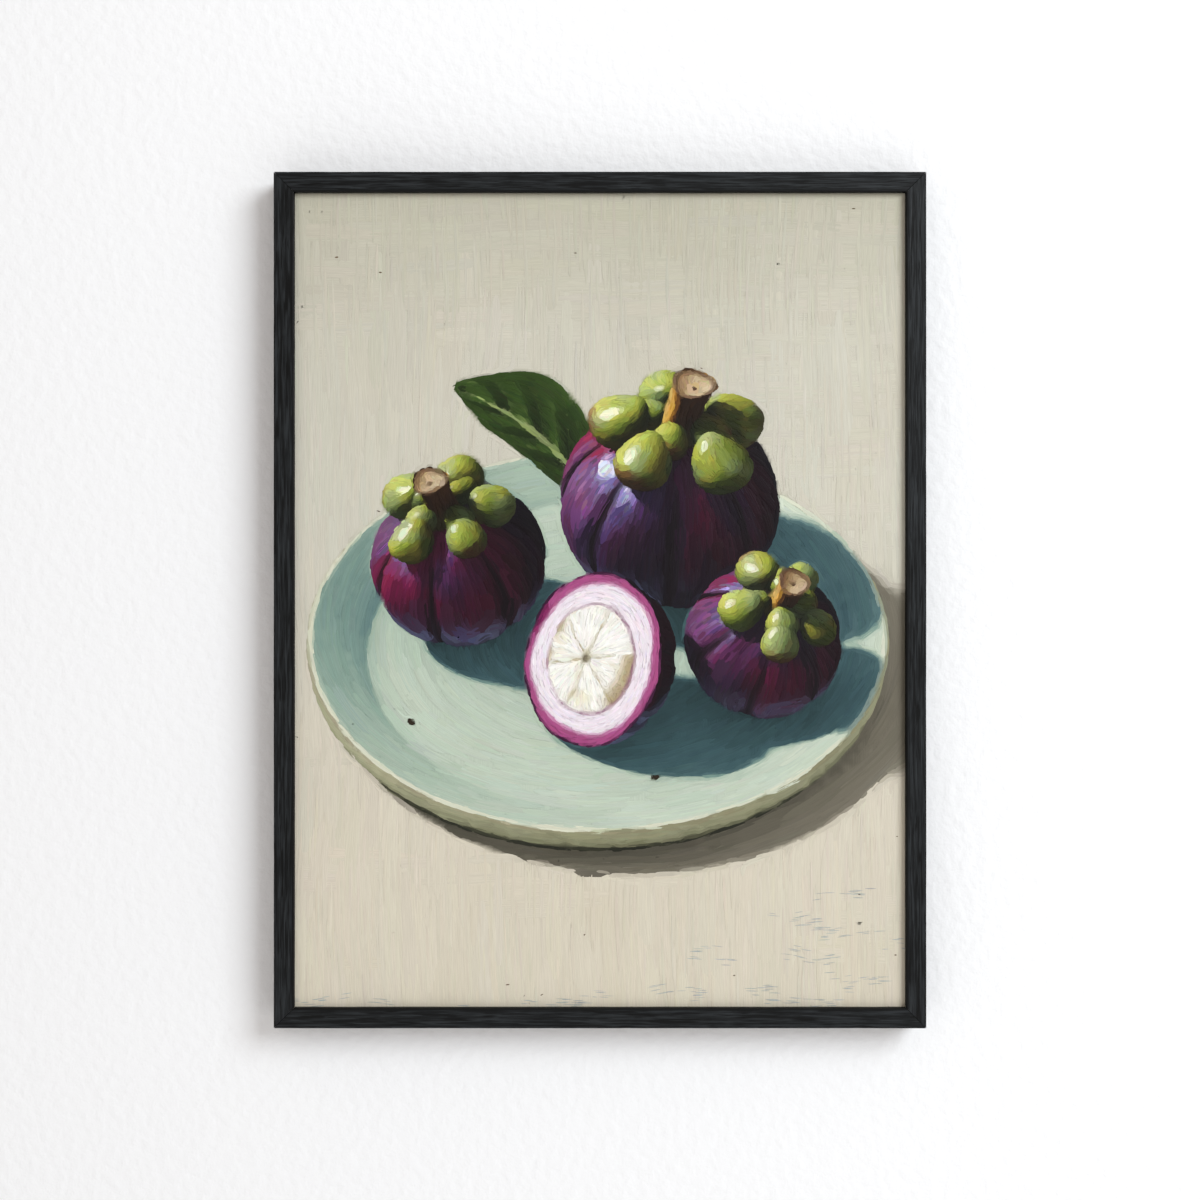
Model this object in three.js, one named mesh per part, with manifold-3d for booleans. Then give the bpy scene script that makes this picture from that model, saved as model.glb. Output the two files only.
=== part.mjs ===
// A framed picture that hangs on a wall: a mitred wooden frame round a painted panel, closed at the
// back by a board under swivelling turn buttons. Millimetres, +Z up, and the picture faces -Y. The
// origin is the top of the hanger's middle notch, where the nail in the wall bears.
import * as THREE from "three";
import { mergeVertices } from "three/addons/utils/BufferGeometryUtils.js";
import Module from "manifold-3d";

const wasm = await Module();
wasm.setup();

// Driving dimensions.
const OPENING = { width: 450, height: 600 }; // the part of the picture that shows
const MOULDING = { face: 15, depth: 25, lip: 5, rebate: 5, ease: 0.8 };
const PANEL_THICKNESS = 4;
const BACKING_THICKNESS = 3;
const SPACER = { width: 8, thickness: 11.8 };
const SIDE_CLEARANCE = 0.5; // round the boards in the rebate
const SEAT_GAP = 0.3; // between pieces that lie on each other
const BUTTON = { halfWidth: 4.5, reach: 21.5, thickness: 1.2, offset: 120 };
const SCREW = { head: 3.2, headHeight: 1.6, shank: 1.5, length: 12, recess: 0.9 };
const HANGER = { halfLength: 22.5, height: 8, sheet: 0.8, rise: 1.6, notches: 9, pitch: 2.2, notch: 2 };
const NAIL = { head: 1.9, headHeight: 0.9, shank: 0.8, length: 9, offset: 18 };
const WEDGE = { leg: 5, sheet: 0.6, height: 10 };
const PAD = { base: 4.75, top: 4, inset: 20 };

// Worked out from them.
const OUTER = {
  width: OPENING.width + 2 * MOULDING.face,
  height: OPENING.height + 2 * MOULDING.face,
};
const BAND = MOULDING.face - MOULDING.rebate; // the wood left at the back, where the hardware sits
const STANDOFF = 4; // how far the pads hold the wood off the wall
const HANGER_MIDDLE = BAND / 2; // below the frame's top edge
const HOOK_BELOW_TOP = HANGER_MIDDLE + HANGER.height / 2 - HANGER.notch;
const HOOK_BEHIND_WOOD = SEAT_GAP + HANGER.rise + HANGER.sheet / 2;
const BOARD = {
  width: OPENING.width + 2 * (MOULDING.rebate - SIDE_CLEARANCE),
  height: OPENING.height + 2 * (MOULDING.rebate - SIDE_CLEARANCE),
};
const ROUND = 24; // sides on small turned pieces

// Finishes.
const finish = (name, color, roughness, metalness = 0) =>
  new THREE.MeshStandardMaterial({ name, color, roughness, metalness });
const BLACK_OAK = finish("black stained oak", 0x26282a, 0.55);
const PAINTED = finish("oil paint on a primed panel", 0xd6d1c0, 0.5);
const HARDBOARD = finish("tempered hardboard", 0x6f5138, 0.7);
const PINE = finish("planed pine", 0xd9bd8c, 0.65);
const BRASSED = finish("brass plated steel", 0xb8975a, 0.35, 1);
const ZINCED = finish("zinc plated steel", 0xb4b7b8, 0.35, 1);
const RUBBER = finish("black rubber", 0x1d1d1e, 0.8);

// A geometry as a manifold-3d solid, and a solid as a geometry again.
function solidOf(geometry) {
  const bare = geometry.index ? geometry.toNonIndexed() : geometry.clone();
  bare.deleteAttribute("normal");
  bare.deleteAttribute("uv");
  const merged = mergeVertices(bare, 1e-4);
  return new wasm.Manifold(
    new wasm.Mesh({
      numProp: 3,
      vertProperties: merged.attributes.position.array,
      triVerts: new Uint32Array(merged.index.array),
    }),
  );
}

function geometryOf(solid) {
  const mesh = solid.getMesh();
  const geometry = new THREE.BufferGeometry();
  geometry.setAttribute("position", new THREE.BufferAttribute(mesh.vertProperties, 3));
  geometry.setIndex(new THREE.BufferAttribute(mesh.triVerts, 1));
  const flat = geometry.toNonIndexed();
  flat.computeVertexNormals();
  return flat;
}

const cut = (geometry, tools) =>
  geometryOf(tools.reduce((left, tool) => left.subtract(solidOf(tool)), solidOf(geometry)));

const at = (object, x, y, z) => {
  object.position.set(x, y, z);
  return object;
};

function piece(name, geometry, material) {
  const mesh = new THREE.Mesh(geometry, material);
  mesh.name = name;
  return mesh;
}

// Every side of the frame is built lying along X with its outer edge up. A shape is drawn with its
// second coordinate running inwards from that edge, and plate() lays it flat with +Y towards the wall.
function plate(shape, thickness) {
  const geometry = new THREE.ExtrudeGeometry(shape, {
    depth: thickness,
    bevelEnabled: false,
    curveSegments: ROUND / 2,
  });
  return geometry.rotateX(-Math.PI / 2);
}

const circlePath = (radius) => new THREE.Path().absarc(0, 0, radius, 0, 2 * Math.PI, true);

// A turned piece about the Y axis, from [radius, y] points that run from the axis back to the axis.
const turned = (points, sides = ROUND) =>
  new THREE.LatheGeometry(
    points.map(([radius, y]) => new THREE.Vector2(radius, y)),
    sides,
  );

const hole = (radius, depth, x) =>
  new THREE.CylinderGeometry(radius, radius, 2 * depth, ROUND / 2).translate(x, 0, -BAND / 2);

// The corner wedge seen from behind: two thin legs from a point on the mitre line, one into each
// rail. grow makes its pocket. The corner is at the origin, with both edges running to plus.
function wedgeShape(grow) {
  const inner = BAND / 2 + WEDGE.leg / 2 + grow;
  const outer = inner - WEDGE.sheet - 2 * grow;
  const tip = BAND / 2 - WEDGE.leg / 2 - grow;
  return new THREE.Shape([
    new THREE.Vector2(inner, tip),
    new THREE.Vector2(inner, inner),
    new THREE.Vector2(tip, inner),
    new THREE.Vector2(tip, outer),
    new THREE.Vector2(outer, outer),
    new THREE.Vector2(outer, tip),
  ]);
}

// Cutters for the wedge pockets at a rail's two ends.
function wedgePockets(length) {
  const pocket = (turn, x) =>
    plate(wedgeShape(SEAT_GAP), 2 * WEDGE.height)
      .translate(0, -WEDGE.height - 2 * SEAT_GAP, 0)
      .rotateY(turn)
      .translate(x, 0, 0);
  return [pocket(0, -length / 2), pocket(Math.PI / 2, length / 2)];
}

// The moulding's section: [inwards from the outer edge, back from the front face].
function mouldingSection() {
  const { face, depth, lip, rebate, ease } = MOULDING;
  const section = new THREE.Shape();
  section.moveTo(0, depth);
  section.lineTo(0, ease);
  section.absarc(ease, ease, ease, Math.PI, 1.5 * Math.PI, false);
  section.absarc(face - ease, ease, ease, 1.5 * Math.PI, 2 * Math.PI, false);
  section.lineTo(face, lip);
  section.lineTo(face - rebate, lip);
  section.lineTo(face - rebate, depth);
  section.closePath();
  return section;
}

// One mitred length of moulding, outer edge at z = 0 and back face at y = 0. The ends slope at 45
// degrees, each half a glue line short of the mitre plane.
function mouldingGeometry(length) {
  const geometry = new THREE.ExtrudeGeometry(mouldingSection(), {
    depth: 1,
    bevelEnabled: false,
    curveSegments: 4,
  });
  const position = geometry.attributes.position;
  for (let i = 0; i < position.count; i += 1) {
    const inwards = position.getX(i);
    const back = position.getY(i);
    const end = position.getZ(i) > 0.5 ? 1 : -1;
    const half = length / 2 - inwards - SEAT_GAP / Math.SQRT2;
    position.setXYZ(i, end * half, back - MOULDING.depth, -inwards);
  }
  return geometry;
}

function buttonGeometry() {
  const { halfWidth, reach, thickness } = BUTTON;
  const outline = new THREE.Shape();
  outline.absarc(0, 0, halfWidth, Math.PI, 2 * Math.PI, false);
  outline.absarc(0, reach - halfWidth, halfWidth, 0, Math.PI, false);
  outline.closePath();
  outline.holes.push(circlePath(SCREW.shank + SEAT_GAP));
  return plate(outline, thickness);
}

// A pan-head screw along Y, its head's underside at y = 0, with a cross recess.
function screwGeometry() {
  const { head, headHeight, shank, length, recess } = SCREW;
  const body = turned([
    [0, shank - length],
    [shank, 2 * shank - length],
    [shank, 0],
    [head, 0],
    [head, headHeight * 0.45],
    [head * 0.82, headHeight * 0.85],
    [head * 0.5, headHeight],
    [0, headHeight],
  ]);
  const slot = new THREE.BoxGeometry(head, 2 * recess, head / 5).translate(0, headHeight, 0);
  return cut(body, [slot, slot.clone().rotateY(Math.PI / 2)]);
}

function nailGeometry() {
  const { head, headHeight, shank, length } = NAIL;
  return turned(
    [
      [0, -length],
      [shank, 2 * shank - length],
      [shank, 0],
      [head, 0],
      [head * 0.8, headHeight * 0.7],
      [0, headHeight],
    ],
    ROUND / 2,
  );
}

// A sawtooth hanger: a strip that stands off the wood between its two nailed ends, with notches
// along its lower edge. Its middle notch is at x = 0, its upper edge at z = height.
function hangerGeometry() {
  const { halfLength, height, sheet, rise, notches, pitch, notch } = HANGER;
  const flat = halfLength - 9;
  const raised = flat - 2.4;
  const strip = new THREE.Shape();
  [
    [-halfLength, 0],
    [-flat, 0],
    [-raised, rise],
    [raised, rise],
    [flat, 0],
    [halfLength, 0],
    [halfLength, sheet],
    [flat + sheet / 2, sheet],
    [raised + sheet / 2, rise + sheet],
    [-raised - sheet / 2, rise + sheet],
    [-flat - sheet / 2, sheet],
    [-halfLength, sheet],
  ].forEach(([x, y], i) => (i ? strip.lineTo(x, y) : strip.moveTo(x, y)));
  strip.closePath();
  const body = new THREE.ExtrudeGeometry(strip, { depth: height, bevelEnabled: false });
  const tools = [-1, 1].map((side) =>
    new THREE.CylinderGeometry(NAIL.shank + SEAT_GAP, NAIL.shank + SEAT_GAP, 4 * sheet, ROUND / 2)
      .translate(side * NAIL.offset, 0, height / 2),
  );
  for (let i = 0; i < notches; i += 1) {
    const middle = (i - (notches - 1) / 2) * pitch;
    const tooth = new THREE.Shape([
      new THREE.Vector2(middle - pitch * 0.4, notch * 0.2),
      new THREE.Vector2(middle, -notch),
      new THREE.Vector2(middle + pitch * 0.4, notch * 0.2),
    ]);
    tools.push(plate(tooth, 4 * rise).translate(0, -rise, 0));
  }
  return cut(body, tools);
}

function padGeometry() {
  const thickness = STANDOFF - SEAT_GAP;
  return turned([
    [0, 0],
    [PAD.base, 0],
    [PAD.base, thickness * 0.5],
    [PAD.top, thickness],
    [0, thickness],
  ]);
}

function board(name, width, height, thickness, front, material) {
  const geometry = new THREE.BoxGeometry(width, thickness, height);
  return at(piece(name, geometry, material), 0, front + thickness / 2, 0);
}

// A side of the frame with the hardware that is screwed to its back. turn is about Y.
function side(rail, length, buttons, turn, extraHoles = []) {
  const group = new THREE.Group();
  group.rotation.y = turn;
  const pilots = [-1, 1].map((end) => hole(SCREW.shank + SEAT_GAP, SCREW.length, end * BUTTON.offset));
  const moulding = cut(mouldingGeometry(length), [...pilots, ...wedgePockets(length), ...extraHoles]);
  group.add(piece(rail, moulding, BLACK_OAK));
  buttons.forEach((name, i) => {
    const x = (i ? 1 : -1) * BUTTON.offset;
    const under = SEAT_GAP + BUTTON.thickness + SEAT_GAP;
    group.add(at(piece(`turn_button_${name}`, buttonGeometry(), BRASSED), x, SEAT_GAP, -BAND / 2));
    group.add(at(piece(`button_screw_${name}`, screwGeometry(), BRASSED), x, under, -BAND / 2));
  });
  return group;
}

// A wedge in the corner that turn brings round, drawn at the upper left corner.
function wedge(name, turn) {
  const flush = plate(wedgeShape(0), WEDGE.height).translate(0, -WEDGE.height - SEAT_GAP, 0);
  const mesh = piece(`corner_wedge_${name}`, flush, ZINCED);
  mesh.rotation.y = turn;
  return mesh;
}

function frameSides() {
  const group = new THREE.Group();
  const { width, height } = OUTER;
  const nailHoles = [-1, 1].map((end) => hole(NAIL.shank + SEAT_GAP, NAIL.length, end * NAIL.offset));
  const top = side("rail_top", width, ["top_left", "top_right"], 0, nailHoles);
  const bottom = side("rail_bottom", width, ["bottom_right", "bottom_left"], Math.PI);
  const left = side("stile_left", height, ["left_lower", "left_upper"], -Math.PI / 2);
  const right = side("stile_right", height, ["right_upper", "right_lower"], Math.PI / 2);
  group.add(at(top, 0, 0, height / 2), at(bottom, 0, 0, -height / 2));
  group.add(at(left, -width / 2, 0, 0), at(right, width / 2, 0, 0));
  group.add(
    at(wedge("upper_left", 0), -width / 2, 0, height / 2),
    at(wedge("upper_right", Math.PI / 2), width / 2, 0, height / 2),
    at(wedge("lower_right", Math.PI), width / 2, 0, -height / 2),
    at(wedge("lower_left", -Math.PI / 2), -width / 2, 0, -height / 2),
  );
  return group;
}

// What lies in the rebate, from the front: the picture, four spacer strips and the backing board.
function rebateStack() {
  const group = new THREE.Group();
  const { width, height } = BOARD;
  const panelFront = MOULDING.lip - MOULDING.depth + SEAT_GAP;
  const spacerFront = panelFront + PANEL_THICKNESS + SEAT_GAP;
  const backingFront = spacerFront + SPACER.thickness + SEAT_GAP;
  const across = (width - SPACER.width) / 2;
  const up = (height - SPACER.width) / 2;
  const between = height - 2 * SPACER.width - 2 * SEAT_GAP;
  group.add(board("picture_panel", width, height, PANEL_THICKNESS, panelFront, PAINTED));
  for (const [name, x, z, long, tall] of [
    ["spacer_top", 0, up, width, SPACER.width],
    ["spacer_bottom", 0, -up, width, SPACER.width],
    ["spacer_left", -across, 0, SPACER.width, between],
    ["spacer_right", across, 0, SPACER.width, between],
  ]) {
    const strip = board(name, long, tall, SPACER.thickness, spacerFront, PINE);
    group.add(at(strip, x, strip.position.y, z));
  }
  group.add(board("backing_board", width, height, BACKING_THICKNESS, backingFront, HARDBOARD));
  return group;
}

function hanger() {
  const group = new THREE.Group();
  const underHead = SEAT_GAP + HANGER.sheet + SEAT_GAP;
  const middle = HANGER.height / 2;
  group.add(at(piece("sawtooth_hanger", hangerGeometry(), ZINCED), 0, SEAT_GAP, 0));
  group.add(at(piece("hanger_nail_left", nailGeometry(), ZINCED), -NAIL.offset, underHead, middle));
  group.add(at(piece("hanger_nail_right", nailGeometry(), ZINCED), NAIL.offset, underHead, middle));
  return group;
}

function wallPads() {
  const group = new THREE.Group();
  const across = OUTER.width / 2 - BAND / 2;
  const up = OUTER.height / 2 - PAD.inset;
  for (const [name, x, z] of [
    ["upper_left", -across, up],
    ["upper_right", across, up],
    ["lower_left", -across, -up],
    ["lower_right", across, -up],
  ])
    group.add(at(piece(`wall_pad_${name}`, padGeometry(), RUBBER), x, SEAT_GAP, z));
  return group;
}

const framedPicture = new THREE.Group();
framedPicture.position.set(0, -HOOK_BEHIND_WOOD, HOOK_BELOW_TOP - OUTER.height / 2);
framedPicture.add(
  frameSides(),
  rebateStack(),
  at(hanger(), 0, 0, OUTER.height / 2 - HANGER_MIDDLE - HANGER.height / 2),
  wallPads(),
);

const part = new THREE.Group();
part.add(framedPicture);
export default part;
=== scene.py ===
"""A framed picture for a wall: black-stained oak moulding round an oil painting on a panel.

The painting is worked out, not copied. A little still life is set up in numbers, looked at and lit
from one side, and brush strokes are then laid over the panel in the colours that were seen.
Everything is in metres in the frame's own axes: the picture faces -Y and hangs with +Z up.
"""

import math

import bmesh
import bpy
import numpy as np
from bpy.props import FloatProperty, FloatVectorProperty, PointerProperty
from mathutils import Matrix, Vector
from mathutils.bvhtree import BVHTree


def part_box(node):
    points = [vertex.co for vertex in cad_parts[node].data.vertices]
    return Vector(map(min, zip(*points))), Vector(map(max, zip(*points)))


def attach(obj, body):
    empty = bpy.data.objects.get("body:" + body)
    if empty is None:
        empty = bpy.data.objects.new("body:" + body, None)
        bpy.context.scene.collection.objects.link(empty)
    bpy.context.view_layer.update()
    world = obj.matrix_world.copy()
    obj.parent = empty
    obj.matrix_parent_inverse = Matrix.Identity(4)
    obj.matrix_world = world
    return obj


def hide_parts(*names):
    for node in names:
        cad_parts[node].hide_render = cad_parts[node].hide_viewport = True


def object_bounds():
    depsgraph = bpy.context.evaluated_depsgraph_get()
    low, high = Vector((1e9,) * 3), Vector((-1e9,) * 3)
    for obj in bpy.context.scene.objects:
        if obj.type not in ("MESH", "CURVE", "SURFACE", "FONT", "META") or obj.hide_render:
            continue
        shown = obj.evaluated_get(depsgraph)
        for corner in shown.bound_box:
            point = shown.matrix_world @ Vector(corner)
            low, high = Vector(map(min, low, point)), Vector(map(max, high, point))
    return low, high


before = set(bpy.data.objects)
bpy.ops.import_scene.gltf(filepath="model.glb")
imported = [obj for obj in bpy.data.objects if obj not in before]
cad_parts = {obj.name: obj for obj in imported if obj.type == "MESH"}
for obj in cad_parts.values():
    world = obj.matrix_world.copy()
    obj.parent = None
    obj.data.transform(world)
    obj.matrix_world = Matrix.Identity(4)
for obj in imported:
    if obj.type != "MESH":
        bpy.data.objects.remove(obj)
CAD_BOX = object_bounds()

bl_info = {
    "name": "Framed picture",
    "version": (1, 0, 0),
    "blender": (4, 5, 0),
    "location": "View3D > Sidebar > Picture",
    "description": "Builds a framed still life with its moulding, painting, backing and fittings",
    "category": "Object",
}

MM = 0.001
TAU = 2 * math.pi
GAP = 0.3 * MM  # what the frame's solids keep between pieces that touch
BODY = "picture_frame"


def corners(node):
    """A node's lowest and highest corners as arrays."""
    low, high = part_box(node)
    return np.array(low), np.array(high)


def extent(name):
    low, high = corners(name)
    return high - low


LEFT, RIGHT = corners("stile_left")[0][0], corners("stile_right")[1][0]
BOTTOM, TOP = corners("rail_bottom")[0][2], corners("rail_top")[1][2]
FRONT, BACK = corners("rail_top")[0][1], corners("rail_top")[1][1]
FACE = extent("rail_top")[2]
PANEL_LOW, PANEL_HIGH = corners("picture_panel")
MIDDLE = np.array([(LEFT + RIGHT) / 2, (FRONT + BACK) / 2, (BOTTOM + TOP) / 2])
OPENING = np.array([RIGHT - LEFT - 2 * FACE, TOP - BOTTOM - 2 * FACE]) / MM  # millimetres
LIP = PANEL_LOW[1] - GAP - FRONT
REBATE = (PANEL_HIGH[0] - PANEL_LOW[0]) / 2 + 0.5 * MM - OPENING[0] * MM / 2
BACK_OF_ALL = CAD_BOX[1][1]
CAMERA_DISTANCE = 1.2
SEEN_WIDTH = 0.882  # across the camera's view at the moulding's face


# Colours and nodes


def linear(code):
    """An sRGB hex value as linear red, green, blue and alpha; a linear colour is passed on."""
    if not isinstance(code, str):
        return tuple(code)[:3] + (1.0,)
    return tuple(map(float, to_linear(tint(code)))) + (1.0,)


def tint(code):
    return np.array([int(code[i : i + 2], 16) / 255 for i in (1, 3, 5)])


def to_linear(srgb):
    return np.where(srgb <= 0.04045, srgb / 12.92, ((srgb + 0.055) / 1.055) ** 2.4)


def feed(tree, node, inputs):
    """Sets a node's inputs, each to a value or to the socket that feeds it."""
    for socket, value in inputs.items():
        if isinstance(value, bpy.types.NodeSocket):
            tree.links.new(value, node.inputs[socket])
        else:
            node.inputs[socket].default_value = value
    return node


def add(tree, kind, inputs=(), **settings):
    """Adds a node with its inputs and settings."""
    node = tree.nodes.new(kind)
    for name, value in settings.items():
        setattr(node, name, value)
    return feed(tree, node, dict(inputs))


def blank_material(name):
    """A new material with only its shader and output; returns all three."""
    material = bpy.data.materials.new(name)
    material.use_nodes = True
    tree = material.node_tree
    tree.nodes.clear()
    shader = add(tree, "ShaderNodeBsdfPrincipled")
    add(tree, "ShaderNodeOutputMaterial", {"Surface": shader.outputs["BSDF"]})
    return material, tree, shader


def stretched(tree, source, scale):
    """The source coordinates multiplied by a scale for each axis."""
    return add(tree, "ShaderNodeMapping", {"Vector": source, "Scale": scale}).outputs["Vector"]


def two_tone(tree, factor, low, high, start=0.35, end=0.65):
    """A colour ramp between two hex colours over part of a factor's range."""
    node = add(tree, "ShaderNodeValToRGB", {"Fac": factor})
    elements = node.color_ramp.elements
    elements[0].position, elements[1].position = start, end
    elements[0].color, elements[1].color = linear(low), linear(high)
    return node.outputs["Color"]


def ranged(tree, value, low, high, start=0.0, end=1.0):
    """A value's part of its range from start to end, spread from low to high."""
    sockets = {"Value": value, "From Min": start, "From Max": end, "To Min": low, "To Max": high}
    return add(tree, "ShaderNodeMapRange", sockets).outputs["Result"]


def mixed(tree, factor, a, b):
    return add(tree, "ShaderNodeMix", {0: factor, 6: a, 7: b}, data_type="RGBA").outputs[2]


def bump(tree, height, distance):
    return add(tree, "ShaderNodeBump", {"Height": height, "Distance": distance}).outputs["Normal"]


def pattern(tree, place, scale, detail, roughness=0.5):
    """Noise over the given coordinates; a scale for each axis stretches it."""
    if isinstance(scale, tuple):
        place, scale = stretched(tree, place, scale), 1.0
    sockets = {"Vector": place, "Scale": scale, "Detail": detail, "Roughness": roughness}
    return add(tree, "ShaderNodeTexNoise", sockets).outputs["Fac"]


def stored(tree, name, output="Fac"):
    """What the mesh holds under a name, as a number or a colour."""
    return add(tree, "ShaderNodeAttribute", attribute_name=name).outputs[output]


def own_place(tree):
    return add(tree, "ShaderNodeTexCoord").outputs["Object"]


def times_plus(tree, value, times, plus):
    return add(tree, "ShaderNodeMath", {0: value, 1: times, 2: plus}, operation="MULTIPLY_ADD").outputs[0]


# Materials


def black_stained_oak(looks):
    """Open-grained oak, stained black and lacquered satin: near black, with darker pores that run
    along each rail, a painted shade band along the sight edge and a soft shine on the eased edges."""
    material, tree, shader = blank_material("black_stained_oak")
    grain = add(tree, "ShaderNodeUVMap", uv_map="grain").outputs["UV"]
    pores = pattern(tree, grain, (42, 1100, 1), 3.0, 0.6)
    figure = pattern(tree, grain, (24, 560, 1), 3.0, 0.6)
    colour = two_tone(tree, figure, "#080a0b", looks.stain, 0.40, 0.62)
    colour = mixed(tree, ranged(tree, pores, 1.0, 0.0, 0.38, 0.47), colour, linear("#060708"))
    # The stored mask darkens the open pores, and along the sight edge it paints the shade of the lip's
    # inner side.
    colour = mixed(tree, stored(tree, "pore"), colour, linear("#030404"))
    feed(tree, shader, {
        "Base Color": colour, "Roughness": ranged(tree, pores, 0.62, 0.42, 0.4, 0.6),
        "Normal": bump(tree, pores, 0.16 * MM), "Specular IOR Level": 0.18})
    return material


def oil_paint(name, ground):
    """Artist's oil laid with hog bristle: the colour is the stroke's own, with fine ridges along it
    that are a little lighter on top and darker between them, a painted highlight and painted shade,
    and a soft uneven shine where the oil sits thicker."""
    material, tree, shader = blank_material(name)
    if ground:
        place = own_place(tree)
        ridge = 0.9 * MM
        up_and_down = stretched(tree, place, (1 / ridge, 1, 1 / (34 * MM)))
        side_to_side = stretched(tree, place, (1 / (40 * MM), 1, 1 / ridge))
        height = add(tree, "ShaderNodeSeparateXYZ", {0: place}).outputs["Z"]
        ragged = times_plus(tree, pattern(tree, place, 9.0, 1.0), 0.16, height)
        near_top = ranged(tree, ragged, 0.0, 1.0, TOP - 0.13, TOP - 0.06)
        line = mixed(tree, near_top, up_and_down, side_to_side)
    else:
        start = stored(tree, "offset")
        side = times_plus(tree, stored(tree, "bristle"), stored(tree, "half_width"), start)
        along = add(tree, "ShaderNodeMath", {0: stored(tree, "reach"), 1: start}).outputs[0]
        point = add(tree, "ShaderNodeCombineXYZ", {"X": side, "Y": along}).outputs[0]
        line = stretched(tree, point, (1 / (0.85 * MM), 1 / (24 * MM), 1))
    ridges = pattern(tree, line, 1.0, 2.5, 0.6)
    # The colour is scaled with the ridges' height: painted shade in the furrows, a painted highlight on the
    # crests.
    sockets = {0: stored(tree, "paint", "Color"), "Scale": ranged(tree, ridges, 0.93, 1.07, 0.25, 0.75)}
    feed(tree, shader, {
        "Base Color": add(tree, "ShaderNodeVectorMath", sockets, operation="SCALE").outputs[0],
        "Roughness": ranged(tree, ridges, 0.62, 0.42, 0.3, 0.7), "Normal": bump(tree, ridges, 0.16 * MM),
        "IOR": 1.48, "Specular IOR Level": 0.2})
    return material


def fibreboard(name, light, dark):
    """Pressed wood fibre: a hard smooth brown face, mottled by the fibres in it."""
    material, tree, shader = blank_material(name)
    place = own_place(tree)
    fibres, clouds = pattern(tree, place, 900.0, 4.0), pattern(tree, place, 22.0, 2.0)
    mottle = times_plus(tree, clouds, 0.3, times_plus(tree, fibres, 0.7, 0.0))
    feed(tree, shader, {
        "Base Color": two_tone(tree, mottle, dark, light, 0.36, 0.62),
        "Roughness": ranged(tree, fibres, 0.75, 0.5, 0.3, 0.7), "Normal": bump(tree, fibres, 0.05 * MM)})
    return material


def planed_pine():
    """Pale softwood with brown growth lines along the strip, left bare."""
    material, tree, shader = blank_material("planed_pine")
    grain = add(tree, "ShaderNodeUVMap", uv_map="grain").outputs["UV"]
    rings = pattern(tree, grain, (4, 420, 1), 3.0)
    feed(tree, shader, {
        "Base Color": two_tone(tree, rings, "#b98c52", "#e0c48f", 0.38, 0.6), "Roughness": 0.65,
        "Normal": bump(tree, rings, 0.08 * MM)})
    return material


def plated_steel(name, colour, tarnish, roughness):
    """Pressed steel with a bright plating: metallic, with fine tumbling scratches and dull patches."""
    material, tree, shader = blank_material(name)
    place = own_place(tree)
    patches, scratches = pattern(tree, place, 260.0, 3.0), pattern(tree, place, (400, 400, 4000), 2.0)
    feed(tree, shader, {
        "Base Color": two_tone(tree, patches, tarnish, colour, 0.35, 0.6), "Metallic": 1.0,
        "Roughness": ranged(tree, scratches, roughness - 0.08, roughness + 0.15, 0.3, 0.7),
        "Normal": bump(tree, scratches, 0.01 * MM)})
    return material


def moulded_rubber():
    """Soft black rubber, matt, with the faint grain of its mould."""
    material, tree, shader = blank_material("moulded_rubber")
    grain = pattern(tree, own_place(tree), 2200.0, 2.0)
    feed(tree, shader, {
        "Base Color": two_tone(tree, grain, "#131314", "#222224"), "Roughness": 0.82,
        "Normal": bump(tree, grain, 0.03 * MM)})
    return material


def painted_plaster(colour):
    """A smooth plastered wall in white emulsion, with the faint stipple of a roller. It is clear from
    behind, so that the back of the picture can be looked at."""
    material, tree, shader = blank_material("painted_plaster")
    stipple = pattern(tree, own_place(tree), 130.0, 4.0)
    feed(tree, shader, {
        "Base Color": linear(colour), "Roughness": 0.9, "Normal": bump(tree, stipple, 0.9 * MM)})
    behind = add(tree, "ShaderNodeNewGeometry").outputs["Backfacing"]
    clear = add(tree, "ShaderNodeBsdfTransparent").outputs[0]
    choice = add(tree, "ShaderNodeMixShader", {0: behind, 1: shader.outputs["BSDF"], 2: clear})
    feed(tree, tree.nodes["Material Output"], {"Surface": choice.outputs[0]})
    return material


# Meshes


def put(name, data):
    """Adds a new object to the scene."""
    thing = bpy.data.objects.new(name, data)
    bpy.context.collection.objects.link(thing)
    return thing


def mesh_object(name, points, faces, materials=()):
    mesh = bpy.data.meshes.new(name)
    mesh.from_pydata(np.asarray(points).tolist(), [], [list(map(int, face)) for face in faces])
    for material in materials:
        mesh.materials.append(material)
    mesh.update()
    return put(name, mesh)


def give(mesh, name, kind, domain, values):
    """Stores an array as a mesh attribute."""
    attribute = mesh.attributes.new(name, kind, domain)
    field = {"FLOAT_COLOR": "color", "FLOAT": "value", "FLOAT2": "vector"}[kind]
    attribute.data.foreach_set(field, np.asarray(values, np.float32).ravel())


def give_map(mesh, name, uv):
    """Stores a map from a place for each vertex."""
    loops = np.zeros(len(mesh.loops), int)
    mesh.loops.foreach_get("vertex_index", loops)
    give(mesh, name, "FLOAT2", "CORNER", uv[loops])


def sheet_faces(rows, columns):
    """The quads of a grid of points, and the numbers of the points round its rim."""
    index = np.arange(rows * columns).reshape(rows, columns)
    quads = np.stack([index[:-1, :-1], index[:-1, 1:], index[1:, 1:], index[1:, :-1]], -1).reshape(-1, 4)
    return quads, np.concatenate([index[0], index[1:, -1], index[-1, -2::-1], index[-2:0:-1, 0]])


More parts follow.
